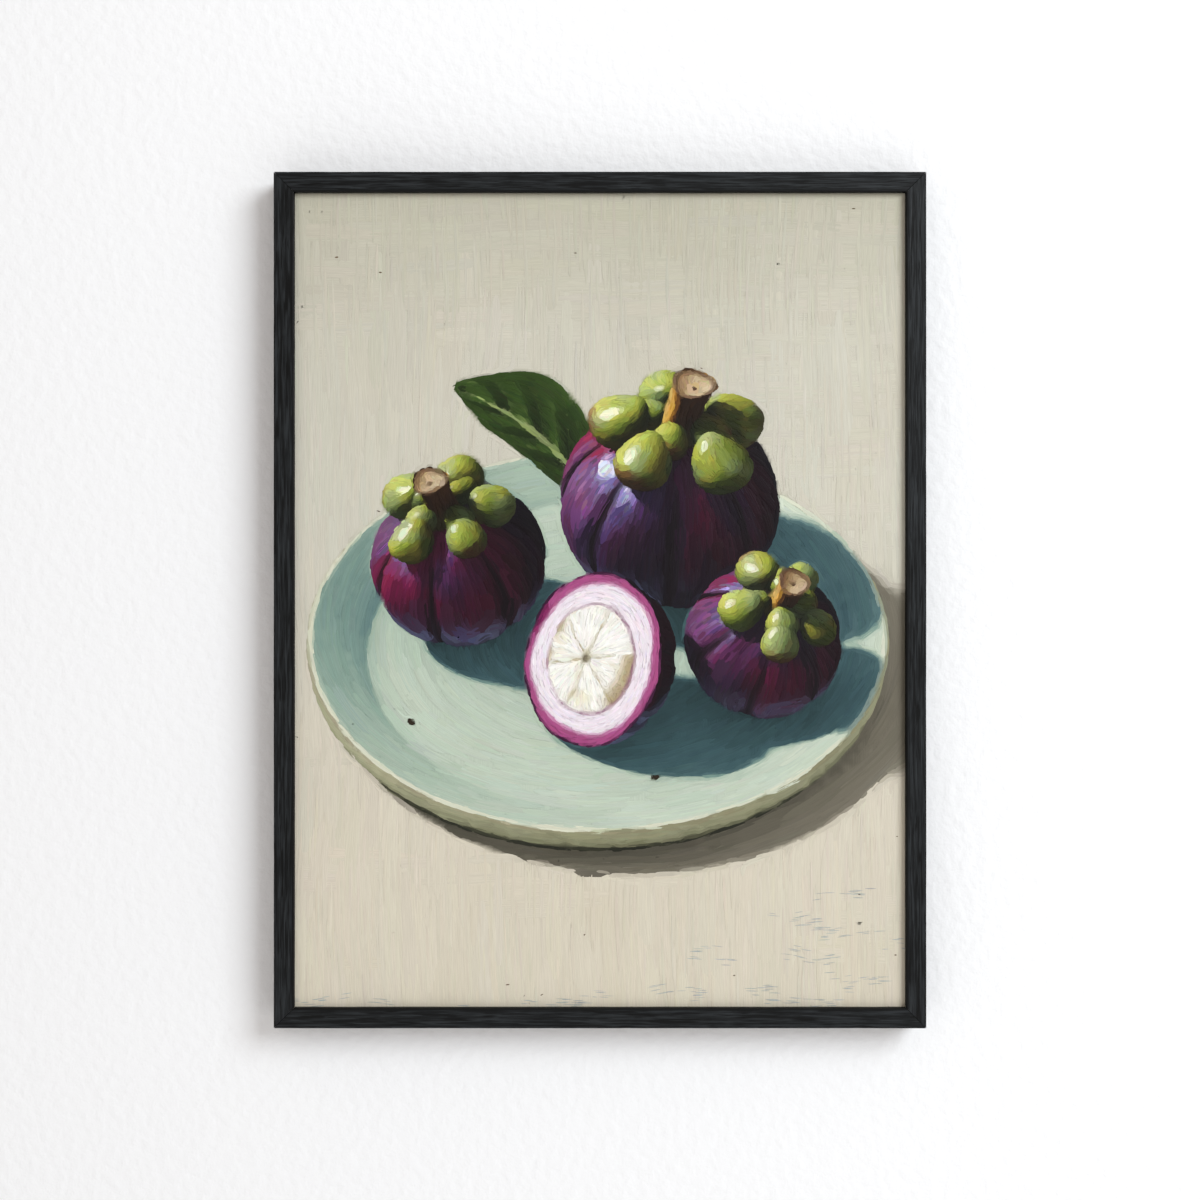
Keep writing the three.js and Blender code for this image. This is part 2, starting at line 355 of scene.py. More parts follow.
def tube_faces(rings, around):
    """The quads that join rings of points, each to the next, and the rings at both ends."""
    index = np.arange(rings * around).reshape(rings, around)
    following = np.roll(index, -1, 1)
    quads = np.stack([index[:-1], index[1:], following[1:], following[:-1]], -1).reshape(-1, 4)
    return quads.tolist(), index[0].tolist(), index[-1][::-1].tolist()


def travelled(path):
    """How far along a path each of its points lies."""
    return np.concatenate([[0], np.cumsum(np.linalg.norm(np.diff(path, axis=0), axis=1))])


def arc(centre, radius, start, end, count):
    """Points round part of a circle."""
    angles = np.linspace(start, end, count)
    return [(centre[0] + radius * math.cos(a), centre[1] + radius * math.sin(a)) for a in angles]


def smooth_shade(thing, angle=40):
    """Shades smooth, with edges sharper than the angle kept."""
    mesh = thing.data
    mesh.shade_smooth()
    mesh.set_sharp_from_angle(angle=math.radians(angle))


def settle(thing):
    """Turns an object's modifiers into plain mesh."""
    graph = bpy.context.evaluated_depsgraph_get()
    mesh = bpy.data.meshes.new_from_object(thing.evaluated_get(graph), depsgraph=graph)
    thing.modifiers.clear()
    old, thing.data = thing.data, mesh
    mesh.name = thing.name
    bpy.data.meshes.remove(old)
    return thing


def enrol(thing, body, slot, *nodes):
    """Hangs a finished piece on the body that it rides on and hides the parts that it stands for.
    The slot, what the piece is made of, is not used.
    """
    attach(thing, body)
    if nodes:
        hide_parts(*nodes)


# The moulding


def moulding_profile():
    """The moulding's section as closed points: inwards from the outer edge, back from the front."""
    ease, small, depth = 0.9 * MM, 0.4 * MM, BACK - FRONT
    fine, middling, coarse = 0.55 * MM, 1.1 * MM, 2.5 * MM
    quarter = math.pi / 2
    turns = [
        (arc((ease, ease), ease, 2 * quarter, 3 * quarter, 5), fine),
        (arc((FACE - ease, ease), ease, 3 * quarter, 4 * quarter, 5), fine),
        (arc((FACE - small, LIP - small), small, 0, quarter, 3), coarse),
        ([(FACE - REBATE, LIP)], coarse),
        (arc((FACE - REBATE - small, depth - small), small, 0, quarter, 3), coarse),
        (arc((small, depth - small), small, quarter, 2 * quarter, 3), middling),
    ]
    points = []
    for i, (turn, spacing) in enumerate(turns):
        (x, y), (next_x, next_y) = turn[-1], turns[(i + 1) % len(turns)][0][0]
        count = max(2, int(round(math.hypot(next_x - x, next_y - y) / spacing)))
        points += turn
        points += [(x + (next_x - x) * k / count, y + (next_y - y) * k / count) for k in range(1, count)]
    return np.array(points)


def moulding(name, start, along, inward, length, material, pore_depth, seed):
    """A mitred length of moulding, its outer edge starting at a corner of the frame."""
    profile = moulding_profile()
    stations = int(length / (2.6 * MM))
    half = length / 2 - GAP / math.sqrt(2)
    reach = np.linspace(-1, 1, stations)[:, None] * (half - profile[None, :, 0])
    step = np.roll(profile, -1, 0) - np.roll(profile, 1, 0)
    outward = unit(np.stack([step[:, 1], -step[:, 0]], 1))
    travel = travelled(profile)
    tall = noise(reach / (21 * MM) + 40, travel[None] / (1.05 * MM) + seed * 7, seed)
    tall = tall + 0.45 * noise(reach / (9 * MM), travel[None] / (0.6 * MM), seed + 9)
    pore = smooth(0.30, 0.75, tall)
    swell = 0.05 * MM * noise(reach / (60 * MM), travel[None] / (5 * MM), seed + 4)
    seen = (profile[:, 1] < LIP) | (profile[:, 0] < 0.5 * MM)
    sink = np.where(seen[None], swell - pore_depth * pore, 0)
    across = profile[None, :, 0] + outward[None, :, 0] * sink
    deep = profile[None, :, 1] + outward[None, :, 1] * sink
    start, along, inward = (np.array(v, float) for v in (start, along, inward))
    middle = start + along * length / 2
    points = middle + reach[..., None] * along + across[..., None] * inward
    points[..., 1] = FRONT + deep
    quads, first, last = tube_faces(*reach.shape)
    thing = mesh_object(name, points.reshape(-1, 3), [*quads, first, last], [material])
    # Painted shade: a dark band along the sight edge stands in for the shadow at the lip's inner side; it
    # is stored with the pores.
    sight_edge_shade = smooth(FACE - 2.1 * MM, FACE - 1.2 * MM, profile[:, 0])
    give(thing.data, "pore", "FLOAT", "POINT", np.maximum(pore, sight_edge_shade[None]) * seen[None])
    travel = np.broadcast_to(travel, reach.shape).ravel()
    give_map(thing.data, "grain", np.stack([reach.ravel() + seed * 0.7, travel + seed * 0.05], 1))
    smooth_shade(thing, 50)
    return thing


# The still life that the painting shows, in millimetres on its own table


TABLE, PLATE, RIND, SEPAL, STEM, CUT, LEAF, CRUMB = range(8)
MARGIN = 5.0  # how far the paint runs on under the moulding's lip
EYE_ELEVATION = math.radians(40)
EYE_DISTANCE = 1150.0
EYE_TARGET = np.array([2.0, 40.0, 10.0])
EYE_FORWARD = np.array([0, math.cos(EYE_ELEVATION), -math.sin(EYE_ELEVATION)])
EYE_UP = np.array([0, math.sin(EYE_ELEVATION), math.cos(EYE_ELEVATION)])
EYE_RIGHT = np.array([1.0, 0, 0])


def unit(vector):
    vector = np.asarray(vector, float)
    return vector / np.maximum(np.linalg.norm(vector, axis=-1, keepdims=True), 1e-9)


SUN = unit((-0.66, 0.17, 0.73))


def smooth(low, high, value):
    t = np.clip((value - low) / (high - low), 0, 1)
    return t * t * (3 - 2 * t)


def mix(a, b, amount):
    """Blends two colours or directions; the second colour may be a hex value."""
    amount = np.asarray(amount)[..., None]
    return a * (1 - amount) + (tint(b) if isinstance(b, str) else b) * amount


def band(a, b, c, d, value):
    """Rises from a to b and falls again from c to d."""
    return smooth(a, b, value) * (1 - smooth(c, d, value))


def parts(field):
    return np.moveaxis(field, -1, 0)


def ramp(tone, codes):
    """Colours along a palette, from its darkest at tone 0 to its lightest at 1."""
    table = np.array([tint(code) for code in codes.split()])
    stops = np.linspace(0, 1, len(table))
    return np.stack([np.interp(tone, stops, table[:, i]) for i in range(3)], -1)


def noise(x, y, seed=0):
    """Smooth noise from -1 to 1 with a cell of 1."""
    x, y = np.broadcast_arrays(np.asarray(x, float), np.asarray(y, float))
    i, j = np.floor(x).astype(np.int64), np.floor(y).astype(np.int64)
    fx, fy = x - i, y - j
    fx, fy = fx * fx * (3 - 2 * fx), fy * fy * (3 - 2 * fy)

    def lattice(a, b):
        n = (a * 374761393 + b * 668265263 + seed * 974634777) & 0x7FFFFFFF
        n = ((n ^ (n >> 13)) * 1274126177) & 0x7FFFFFFF
        return ((n ^ (n >> 16)) & 0xFFFF) / 32767.5 - 1

    low = lattice(i, j) * (1 - fx) + lattice(i + 1, j) * fx
    high = lattice(i, j + 1) * (1 - fx) + lattice(i + 1, j + 1) * fx
    return low * (1 - fy) + high * fy


def cloud(x, y, seed=0):
    finer = 0.5 * noise(2.1 * x, 2.1 * y, seed + 1) + 0.25 * noise(4.3 * x, 4.3 * y, seed + 2)
    return (noise(x, y, seed) + finer) / 1.5


def blur(field, times=1):
    for _ in range(times):
        padded = np.pad(field, [(1, 1), (1, 1)] + [(0, 0)] * (field.ndim - 2), mode="edge")
        rows = (padded[:-2] + 2 * padded[1:-1] + padded[2:]) / 4
        field = (rows[:, :-2] + 2 * rows[:, 1:-1] + rows[:, 2:]) / 4
    return field


def upright(axis, twist=(1.0, 0.0, 0.0)):
    """A turn that brings +Z to the axis."""
    z = unit(axis)
    x = unit(np.asarray(twist) - np.dot(twist, z) * z)
    return np.stack([x, np.cross(z, x), z], 1)


def placed(x, y, z, turn, centre):
    return np.stack([x, y, z], -1) @ turn.T + centre


class Still:
    """The fruit, plate and table as one mesh to look at and to light."""

    def __init__(self):
        self.points, self.normals, self.along, self.uv = [], [], [], []
        self.tris, self.kind, self.piece = [], [], []
        self.count = self.pieces = 0
        self.segments = {}

    def sheet(self, kind, surface, columns, rows):
        """Adds surface(u, v), for u and v from 0 to 1, as a grid of triangles."""
        u, v = np.meshgrid(np.linspace(0, 1, columns + 1), np.linspace(0.002, 0.998, rows + 1))
        step = 1e-3
        across = surface(u + step, v) - surface(u - step, v)
        along = surface(u, v + step) - surface(u, v - step)
        self.points.append(surface(u, v).reshape(-1, 3))
        self.normals.append(unit(np.cross(across, along)).reshape(-1, 3))
        self.along.append(unit(along).reshape(-1, 3))
        self.uv.append(np.stack([u, v], -1).reshape(-1, 2))
        corner = (np.arange(rows)[:, None] * (columns + 1) + np.arange(columns)).ravel() + self.count
        quads = np.stack([corner, corner + 1, corner + columns + 2, corner + columns + 1], -1)
        tris = np.concatenate([quads[:, [0, 1, 2]], quads[:, [0, 2, 3]]])
        self.tris.append(tris)
        self.kind.append(np.full(len(tris), kind))
        self.piece.append(np.full(len(tris), self.pieces))
        self.pieces += 1
        self.count += u.size

    def seal(self):
        for name in ("points", "normals", "along", "uv", "tris", "kind", "piece"):
            setattr(self, name, np.concatenate(getattr(self, name)))
        self.tree = BVHTree.FromPolygons(self.points.tolist(), self.tris.tolist())


def add_table(still):
    still.sheet(TABLE, lambda u, v: np.stack([2400 * (u - 0.5), 2400 * (v - 0.5), 0 * u], -1), 1, 1)


# The plate's section, outwards and up: a flat floor, a sloping wall, the rim, the outside and the foot.
PLATE_SECTION = np.array([
    (0, 6), (157, 6), (164, 7.5), (171, 12), (194, 26), (199.5, 29.5), (202, 30.5), (204, 30),
    (205, 28.5), (204.5, 17), (201, 9), (191, 3), (176, 0)], float)
PLATE_FLOOR = 6.0


def add_plate(still):
    section = PLATE_SECTION
    travel = travelled(section)
    travel[1:] = 0.3 + 0.7 * (travel[1:] - travel[1]) / (travel[-1] - travel[1])

    def surface(u, v):
        radius, height = (np.interp(v, travel, section[:, i]) for i in (0, 1))
        radius = radius * (1 + 0.002 * np.sin(3 * TAU * u + 1))
        return np.stack([radius * np.cos(TAU * u), radius * np.sin(TAU * u), height], -1)

    still.sheet(PLATE, surface, 120, 70)
    still.rim = travel[6]


def add_body(still, centre, radius, turn, segments, first=0.0):
    """A fruit's rind from its crown, or from further round for a cut one, down to its base."""
    def surface(u, v):
        angle, polar = TAU * u, math.pi * (first + (1 - first) * v)
        groove = (0.5 + 0.5 * np.cos(segments * angle)) ** 7
        r = radius * (1 - 0.035 * groove * np.sin(polar) ** 0.5)
        r = r * (1 + 0.012 * noise(3 * np.cos(angle) + 9, 3 * np.sin(angle) + 2 * polar, segments))
        height = 0.9 * r * np.cos(polar) * (1 - 0.12 * np.exp(-((polar / 0.4) ** 2)))
        out = r * np.sin(polar)
        return placed(out * np.cos(angle), out * np.sin(angle), height, turn, centre)

    still.segments[still.pieces] = segments
    still.sheet(RIND, surface, 84, 48)


def add_lobe(still, centre, turn, size):
    def surface(u, v):
        angle, polar = TAU * u, math.pi * (1 - v)
        x, y, z = np.cos(polar), np.sin(polar) * np.cos(angle), np.sin(polar) * np.sin(angle)
        broad = 1 + 0.12 * x
        return placed(size[0] * x, size[1] * y * broad, size[2] * (z * broad + 0.30 * x * x), turn, centre)

    still.sheet(SEPAL, surface, 20, 16)


def add_calyx(still, centre, radius, turn, count, start, rng):
    """Two rings of thick sepals round the stem: large ones outside, small ones close in."""
    rings = ((count, 0.50, 0.26, start), (count - 1, 0.26, 0.19, start + 0.6))
    for number, tilt, bulk, first in rings:
        for k in range(number):
            angle = first + TAU * (k + rng.uniform(-0.13, 0.13)) / number
            polar = tilt + rng.uniform(-0.05, 0.05)
            out = np.array([math.cos(angle), math.sin(angle), 0])
            normal = out * math.sin(polar) + np.array([0, 0, math.cos(polar)])
            tangent = out * math.cos(polar) - np.array([0, 0, math.sin(polar)])
            size = bulk * radius * np.array([1.04, 0.98, 0.84]) * rng.uniform(0.80, 1.12)
            seat = np.array([normal[0], normal[1], 0.9 * normal[2]]) * radius * 1.07
            lobe = np.stack([tangent, np.cross(normal, tangent), normal], 1)
            add_lobe(still, turn @ seat + centre, turn @ lobe, size)


def add_stem(still, centre, radius, turn, bend):
    low, high, thick = 0.74 * radius, 1.38 * radius, 0.15 * radius

    def surface(u, v):
        side = np.minimum(v / 0.8, 1)
        cap = np.maximum((v - 0.8) / 0.2, 0)
        r = thick * (1 + 0.45 * (1 - side) ** 3 + 0.34 * side**6) * (1 - cap)
        r = r * (1 + 0.08 * np.cos(3 * TAU * u))
        x = r * np.cos(TAU * u) + bend[0] * radius * side**2
        y = r * np.sin(TAU * u) + bend[1] * radius * side**2
        sunk = 0.06 * radius * (cap > 0) * np.sin(math.pi * cap / 2)
        return placed(x, y, low + (high - low) * side - sunk, turn, centre)

    still.sheet(STEM, surface, 24, 24)


def add_fruit(still, place, radius, lean, segments, start, bend, seed):
    rng = np.random.default_rng(seed)
    turn = upright(lean)
    centre = np.array([*place, PLATE_FLOOR + 0.88 * radius])
    add_body(still, centre, radius, turn, segments)
    add_calyx(still, centre, radius, turn, 5, start, rng)
    add_stem(still, centre, radius, turn, bend)


FLESH_SEGMENTS = 6


def add_half(still, place, radius, facing):
    """A cut half: its rind, and a face of white segments in a thick pink wall."""
    turn = upright(facing)
    centre = np.array([*place, PLATE_FLOOR + 0.90 * radius])
    add_body(still, centre, radius, turn, 7, first=0.5)

    def surface(u, v):
        angle = TAU * u
        dome = np.sqrt(np.clip(1 - (v / 0.64) ** 2, 0, 1))
        bulge = 0.11 * radius * dome * (0.45 + 0.55 * np.abs(np.sin(FLESH_SEGMENTS * angle / 2)) ** 0.6)
        r = radius * v * (1 - 0.01 * np.cos(7 * angle))
        return placed(r * np.cos(angle), r * np.sin(angle), bulge, turn, centre)

    still.sheet(CUT, surface, 96, 32)


def add_leaf(still, base, tip, side, width, arch, fold):
    base, tip, side = np.array(base, float), np.array(tip, float), unit(side)
    lift = unit(np.cross(tip - base, side))

    def surface(u, v):
        across = 2 * u - 1
        half = width * np.sin(math.pi * np.clip(v, 0, 1) ** 0.82) ** 0.75
        ripple = 0.05 * np.sin(9 * v + 2 * across)
        rise = arch * np.sin(math.pi * v) + fold * half * np.abs(across) + half * ripple * across**2
        spine = base + (tip - base) * v[..., None]
        return spine + side * (half * across)[..., None] + lift * rise[..., None]

    still.sheet(LEAF, surface, 24, 40)


def add_crumb(still, place, size, angle):
    turn = upright((0, 0, 1), (math.cos(angle), math.sin(angle), 0))
    centre = np.array([*place, PLATE_FLOOR + 0.3 * size])

    def surface(u, v):
        polar = math.pi * v
        out, rise = size * np.sin(polar), 0.5 * size * np.cos(polar)
        return placed(1.7 * out * np.cos(TAU * u), out * np.sin(TAU * u), rise, turn, centre)

    still.sheet(CRUMB, surface, 10, 8)


def set_the_table():
    still = Still()
    add_table(still)
    add_plate(still)
    add_fruit(still, (52, 70), 80, (0.05, -0.12, 1), 8, 0.45, (0.10, 0.02), 3)
    add_fruit(still, (-98, 22), 62, (-0.12, -0.20, 1), 7, 0.2, (-0.06, 0.0), 11)
    add_fruit(still, (112, -54), 53, (0.16, -0.34, 1), 7, 0.9, (0.05, 0.05), 23)
    add_half(still, (-4, -78), 58, (-0.62, -0.50, 0.60))
    add_leaf(still, (-4, 96, 66), (-104, 112, 150), (0.46, -0.42, 1.0), 47, 12, 0.26)
    for place, size, angle in (
        ((-158, 46), 2.4, 0.6), ((-126, -84), 2.1, 2.2), ((38, -136), 1.9, 0.2), ((150, 60), 2.0, 1.2)):
        add_crumb(still, place, size, angle)
    still.seal()
    return still


def look(still, step, sun_rays, sky_rays):
    """What the eye sees through each point of the panel: arrays over a grid of the given step."""
    width, height = (int(round((size + 2 * MARGIN) / step)) for size in OPENING)
    u = (np.arange(width) + 0.5) * step - OPENING[0] / 2 - MARGIN
    v = (np.arange(height) + 0.5) * step - OPENING[1] / 2 - MARGIN
    u, v = np.meshgrid(u, v)
    shape = u.shape
    eye = EYE_TARGET - EYE_FORWARD * EYE_DISTANCE
    ray = unit(EYE_FORWARD * EYE_DISTANCE + EYE_RIGHT * u[..., None] + EYE_UP * v[..., None]).reshape(-1, 3)
    cast = still.tree.ray_cast
    start = eye.tolist()
    hits = [cast(start, way) for way in ray.tolist()]
    face = np.array([hit[2] for hit in hits])
    place = np.array([hit[0] for hit in hits])
    tri = still.tris[face]
    a, b, c = (still.points[tri[:, i]] for i in range(3))
    whole = np.cross(b - a, c - a)
    area = np.maximum((whole * whole).sum(-1), 1e-12)
    weight_b = (np.cross(place - a, c - a) * whole).sum(-1) / area
    weight_c = (np.cross(b - a, place - a) * whole).sum(-1) / area
    weights = np.stack([1 - weight_b - weight_c, weight_b, weight_c], -1)[..., None]
    told = (still.normals, still.along, still.uv)
    normal, along, uv = ((values[tri] * weights).sum(1) for values in told)
    normal = unit(normal)
    normal *= np.where((normal * ray).sum(-1, keepdims=True) > 0, -1, 1)
    across = np.cross(normal, along)
    turned = np.isin(still.kind[face], (PLATE,))[:, None] | (
        (still.kind[face] == CUT) & (uv[:, 1] > 0.64))[:, None]
    grain = np.where(turned, across, along)
    way = unit(np.stack([grain @ EYE_RIGHT, grain @ EYE_UP], -1))

    rng = np.random.default_rng(5)
    origins = place + normal * 0.6
    toward = np.maximum(normal @ SUN, 0)
    lit = np.zeros(len(face))
    for _ in range(sun_rays):
        aim = unit(SUN + rng.normal(0, 0.03, (len(face), 3)))
        for i, (origin, ahead) in enumerate(zip(origins.tolist(), aim.tolist())):
            if toward[i] > 0 and cast(origin, ahead)[0] is None:
                lit[i] += 1 / sun_rays
    shown = lit.reshape(shape)
    lit = (lit * toward).reshape(shape)

    coarse = 2
    pick = np.arange(len(face)).reshape(shape)[::coarse, ::coarse]
    sky = np.zeros(pick.size)
    for _ in range(sky_rays):
        aim = unit(unit(rng.normal(0, 1, (pick.size, 3))) + normal[pick.ravel()] * 1.05)
        for i, (origin, ahead) in enumerate(zip(origins[pick.ravel()].tolist(), aim.tolist())):
            if cast(origin, ahead, 90.0)[0] is None:
                sky[i] += 1 / sky_rays
    sky = blur(sky.reshape(pick.shape), 2)
    sky = blur(np.repeat(np.repeat(sky, coarse, 0), coarse, 1)[: shape[0], : shape[1]])

    bounce = ray - 2 * (ray * normal).sum(-1, keepdims=True) * normal
    facing = -(ray * normal).sum(-1)
    return {
        "step": step, "u": u, "v": v, "kind": still.kind[face].reshape(shape),
        "piece": still.piece[face].reshape(shape), "place": place.reshape(*shape, 3),
        "normal": normal.reshape(*shape, 3), "lit": lit, "open": blur(shown), "sky": sky,
        "gloss": np.maximum(bounce @ SUN, 0).reshape(shape), "uv": uv.reshape(*shape, 2),
        "way": way.reshape(*shape, 2), "rim": still.rim, "facing": facing.reshape(shape),
    }


# The palette: what colour each thing in the still life is, in its own light and shade


def colour_table(s):
    x, y = s["u"], s["v"]
    height = (y + OPENING[1] / 2) / OPENING[1]
    codes = "#d8d0bc #d8d0bd #d4cebd #d1cdbd #cdc9b9 #bfbba8"
    base = ramp(np.clip(height + 0.05 * cloud(x / 90, y / 90, 3), 0, 1), codes)
    base = base + 0.010 * cloud(x / 34, y / 70, 8)[..., None]
    scuff = smooth(0.25, 0.7, cloud(x / 46, y / 30, 15)) * smooth(40, 200, x) * smooth(-60, -240, y)
    base = mix(base, "#aeb9bb", 0.22 * scuff)
    base = mix(base, "#cdbd9c", 0.12 * smooth(0.2, 0.8, cloud(x / 60, y / 80, 21)))
    dark = ramp(s["sky"], "#26241c #3f3c31 #5d584b #706b5d")
    return mix(base, dark, 0.88 * shade_on_table(s))


def shade_on_table(s):
    """How far the sun is kept off the table, 0 to 1."""
    return 1 - np.clip(blur(s["lit"], 2) / SUN[2], 0, 1)


def colour_plate(s):
    v = s["uv"][..., 1]
    tone = np.clip(0.72 * blur(s["lit"], 2) / SUN[2] + 0.28 * s["sky"], 0, 1)
    codes = "#1b2e30 #365257 #5d7b7a #829c90 #a0b4a3 #b3c3b1 #c3cfbd"
    glaze = ramp(tone, codes)
    glaze = mix(glaze, "#e0e4d1", 0.5 * s["gloss"] ** 9 * s["open"])
    x, y, _ = parts(s["place"])
    glaze = glaze + (0.022 * cloud(x / 40, y / 26, 31) * tone)[..., None]
    rim = s["rim"]
    under = smooth(rim + 0.075, rim + 0.19, v)
    clay = ramp(np.clip(0.10 + 0.60 * s["sky"] + 0.5 * s["lit"] - 0.55 * under, 0, 1),
                "#24251b #4c4c39 #77775c #9b9b7c #b5b494 #cfccb0")
    clay = clay + 0.03 * cloud(x / 22, y / 22, 33)[..., None]
    edge = band(rim - 0.014, rim - 0.006, rim + 0.006, rim + 0.012, v)
    body = mix(glaze, clay, smooth(rim + 0.006, rim + 0.014, v))
    body = mix(body, "#dddcc4", 0.85 * edge * (0.25 + 0.75 * tone))
    line = band(rim + 0.010, rim + 0.018, rim + 0.022, rim + 0.032, v)
    return mix(body, "#6d654b", 0.45 * line)


def colour_rind(s):
    u, v = parts(s["uv"])
    seed = s["piece"] * 1.7
    up = s["normal"][..., 2]
    planes = 0.10 * cloud(u * 9 + seed, v * 4 + seed, 37)
    sun = smooth(0.05, 1.05, s["lit"] + planes)
    fill = np.clip(s["normal"] @ unit((-0.55, -0.75, 0.35)), 0, 1) * (0.25 + 0.75 * s["sky"]) + 0.5 * planes
    tone = np.clip(0.72 * sun + 0.29 * fill, 0, 1)
    skin = ramp(tone, "#0a060c #1a0d1d #33162f #502248 #6d3d66 #8a5f88")
    crimson = ramp(tone, "#16040c #3e0a22 #691037 #90214a #ab4765")
    skin = mix(skin, crimson, 0.95 * smooth(-0.12, 0.15, cloud(u * 8 + seed, v * 3 + seed, 41)))
    violet = ramp(tone, "#0c0914 #201731 #3b2f57 #5f568a #8a84b6")
    skin = mix(skin, violet, 0.6 * smooth(0.1, 0.45, cloud(u * 8 + 5, v * 3 + seed, 47)))
    below = smooth(0.0, 0.55, 0.05 - up) * smooth(0.02, 0.45, s["sky"])
    skin = mix(skin, "#5d6a88", 0.75 * below)
    broken = smooth(-0.35, 0.35, cloud(u * 15 + seed, v * 7 + seed, 53))
    light = np.clip(s["open"] + 0.5 * s["sky"], 0, 1)
    for spread, code, most in (
        (2.2, "#6a6396", 0.7), (5, "#918cc0", 0.85), (16, "#c3c3e2", 0.9), (40, "#f0f0fb", 1.0),
    ):
        glow = smooth(0.22, 0.7, s["gloss"] ** spread * light * (0.55 + 0.6 * broken))
        skin = mix(skin, tint(code), most * glow * (0.5 + 0.5 * broken))
    return skin


def colour_sepal(s):
    v = s["uv"][..., 1]
    x, y = s["u"], s["v"]
    tone = np.clip(0.80 * s["lit"] + 0.20 * s["sky"] ** 1.6 + 0.05 * cloud(x / 9, y / 9, 60), 0, 1)
    green = ramp(tone, "#0e1208 #29300d #56631f #869336 #adb850 #cdd679")
    yellow = ramp(tone, "#1e180a #534a1c #918a30 #beb84a #dcd672")
    green = mix(green, yellow, 0.7 * smooth(-0.1, 0.5, cloud(x / 9, y / 8, 61)))
    sage = ramp(tone, "#1c2215 #404c31 #74835b #9dab80 #bec99f")
    green = mix(green, sage, 0.7 * smooth(0.0, 0.4, cloud(x / 14 + 3, y / 12, 62)))
    scarred = np.mod(s["piece"] * 7, 5) < 3
    tip = smooth(0.66, 0.80, v + 0.10 * noise(x / 4, y / 4, 63)) * scarred
    green = mix(green, ramp(tone, "#170c07 #3f2815 #775230 #a8875a"), 0.85 * tip)
    return mix(green, "#f3f4d6", 0.9 * smooth(0.2, 0.7, s["gloss"] ** 12 * s["open"]))


def colour_stem(s):
    u, v = parts(s["uv"])
    tone = smooth(0.02, 0.95, 0.72 * s["lit"] + 0.28 * s["sky"])
    bark = ramp(tone, "#120a05 #2f1b0c #5f3a15 #a06c22 #cf9f49 #e6c888")
    moss = ramp(tone, "#1c1d0a #4e501c #8b8a30 #bdb74e")
    bark = mix(bark, moss, 0.7 * (1 - smooth(0.15, 0.45, v)))
    bark = bark * (1 + 0.16 * noise(u * 26, v * 3, 71)[..., None])
    cut = ramp(tone, "#2a1a10 #6a4c30 #a78a62 #cdb896")
    cut = mix(cut, "#3a2415", 0.8 * smooth(0.955, 0.975, v))
    cut = mix(cut, "#4b3120", 0.6 * band(0.79, 0.81, 0.84, 0.87, v))
    return mix(bark, cut, smooth(0.79, 0.81, v))


def colour_cut(s):
    u, v = parts(s["uv"])
    x, y = s["u"], s["v"]
    around = v + 0.012 * noise(u * 22, v * 2, 81)
    tone = np.clip(0.25 + 0.75 * (0.6 * s["lit"] / 0.7 + 0.4 * s["sky"]), 0, 1)
    flesh = ramp(tone, "#7f7a6c #b3ad99 #dad6c6 #efece1 #f8f6ee")
    flesh = flesh + 0.035 * noise(u * 70, v * 5, 83)[..., None]
    flesh = mix(flesh, "#cfc089", 0.35 * smooth(0.1, 0.7, cloud(x / 9, y / 9, 85)))
    seam = np.abs(np.sin(FLESH_SEGMENTS * TAU * u / 2 + 0.25 * noise(v * 6, u * 3, 87)))
    line = (1 - smooth(0.0, 0.05 + 0.05 / (v + 0.12), seam)) * (1 - smooth(0.5, 0.62, v))
    flesh = mix(flesh, "#a3966f", 0.75 * line)
    flesh = mix(flesh, "#5c5238", 0.8 * (1 - smooth(0.03, 0.075, v)))
    # Painted ochre shade in patches near the flesh's edge.
    ochre_shade = smooth(0.40, 0.60, v) * smooth(-0.2, 0.35, cloud(u * 9, v * 2 + 4, 88))
    flesh = mix(flesh, "#98804f", 0.7 * ochre_shade)
    pith = ramp(tone, "#836678 #bd9fb2 #dfcbd8 #efe4eb")
    wall = ramp(tone, "#3a0d2c #5f1543 #84245a #a84f82")
    ring = band(0.60, 0.63, 0.63, 0.67, around)
    out = mix(flesh, "#8d5f7c", 0.75 * ring)
    out = mix(out, pith, smooth(0.63, 0.665, around))
    out = mix(out, wall, smooth(0.83, 0.91, around + 0.03 * noise(u * 14, 3, 89)))
    return mix(out, "#35122f", smooth(0.965, 0.99, around))


def colour_leaf(s):
    u, v = parts(s["uv"])
    across = np.abs(2 * u - 1)
    fold = 0.16 * np.sin(26 * v - 7 * across) * (1 - across)
    tone = np.clip(0.70 * s["lit"] + 0.30 * s["sky"] + fold, 0, 1)
    green = ramp(tone, "#141d0a #263912 #3f5920 #5e7a30 #7f9848 #a3b46a")
    green = mix(green, "#93a883", 0.6 * s["gloss"] ** 6)
    vein = np.abs(np.mod(v * 9 - 2.6 * across, 1) - 0.5)
    green = mix(green, "#8ea565", 0.35 * (1 - smooth(0, 0.1, vein)) * (1 - smooth(0.7, 1, across)))
    return mix(green, "#a9b878", 0.75 * (1 - smooth(0.03, 0.09, across)))


def colour_crumb(s):
    return np.broadcast_to(tint("#2d2418"), s["u"].shape + (3,))


PALETTE = {
    TABLE: colour_table, PLATE: colour_plate, RIND: colour_rind, SEPAL: colour_sepal,
    STEM: colour_stem, CUT: colour_cut, LEAF: colour_leaf, CRUMB: colour_crumb,
}


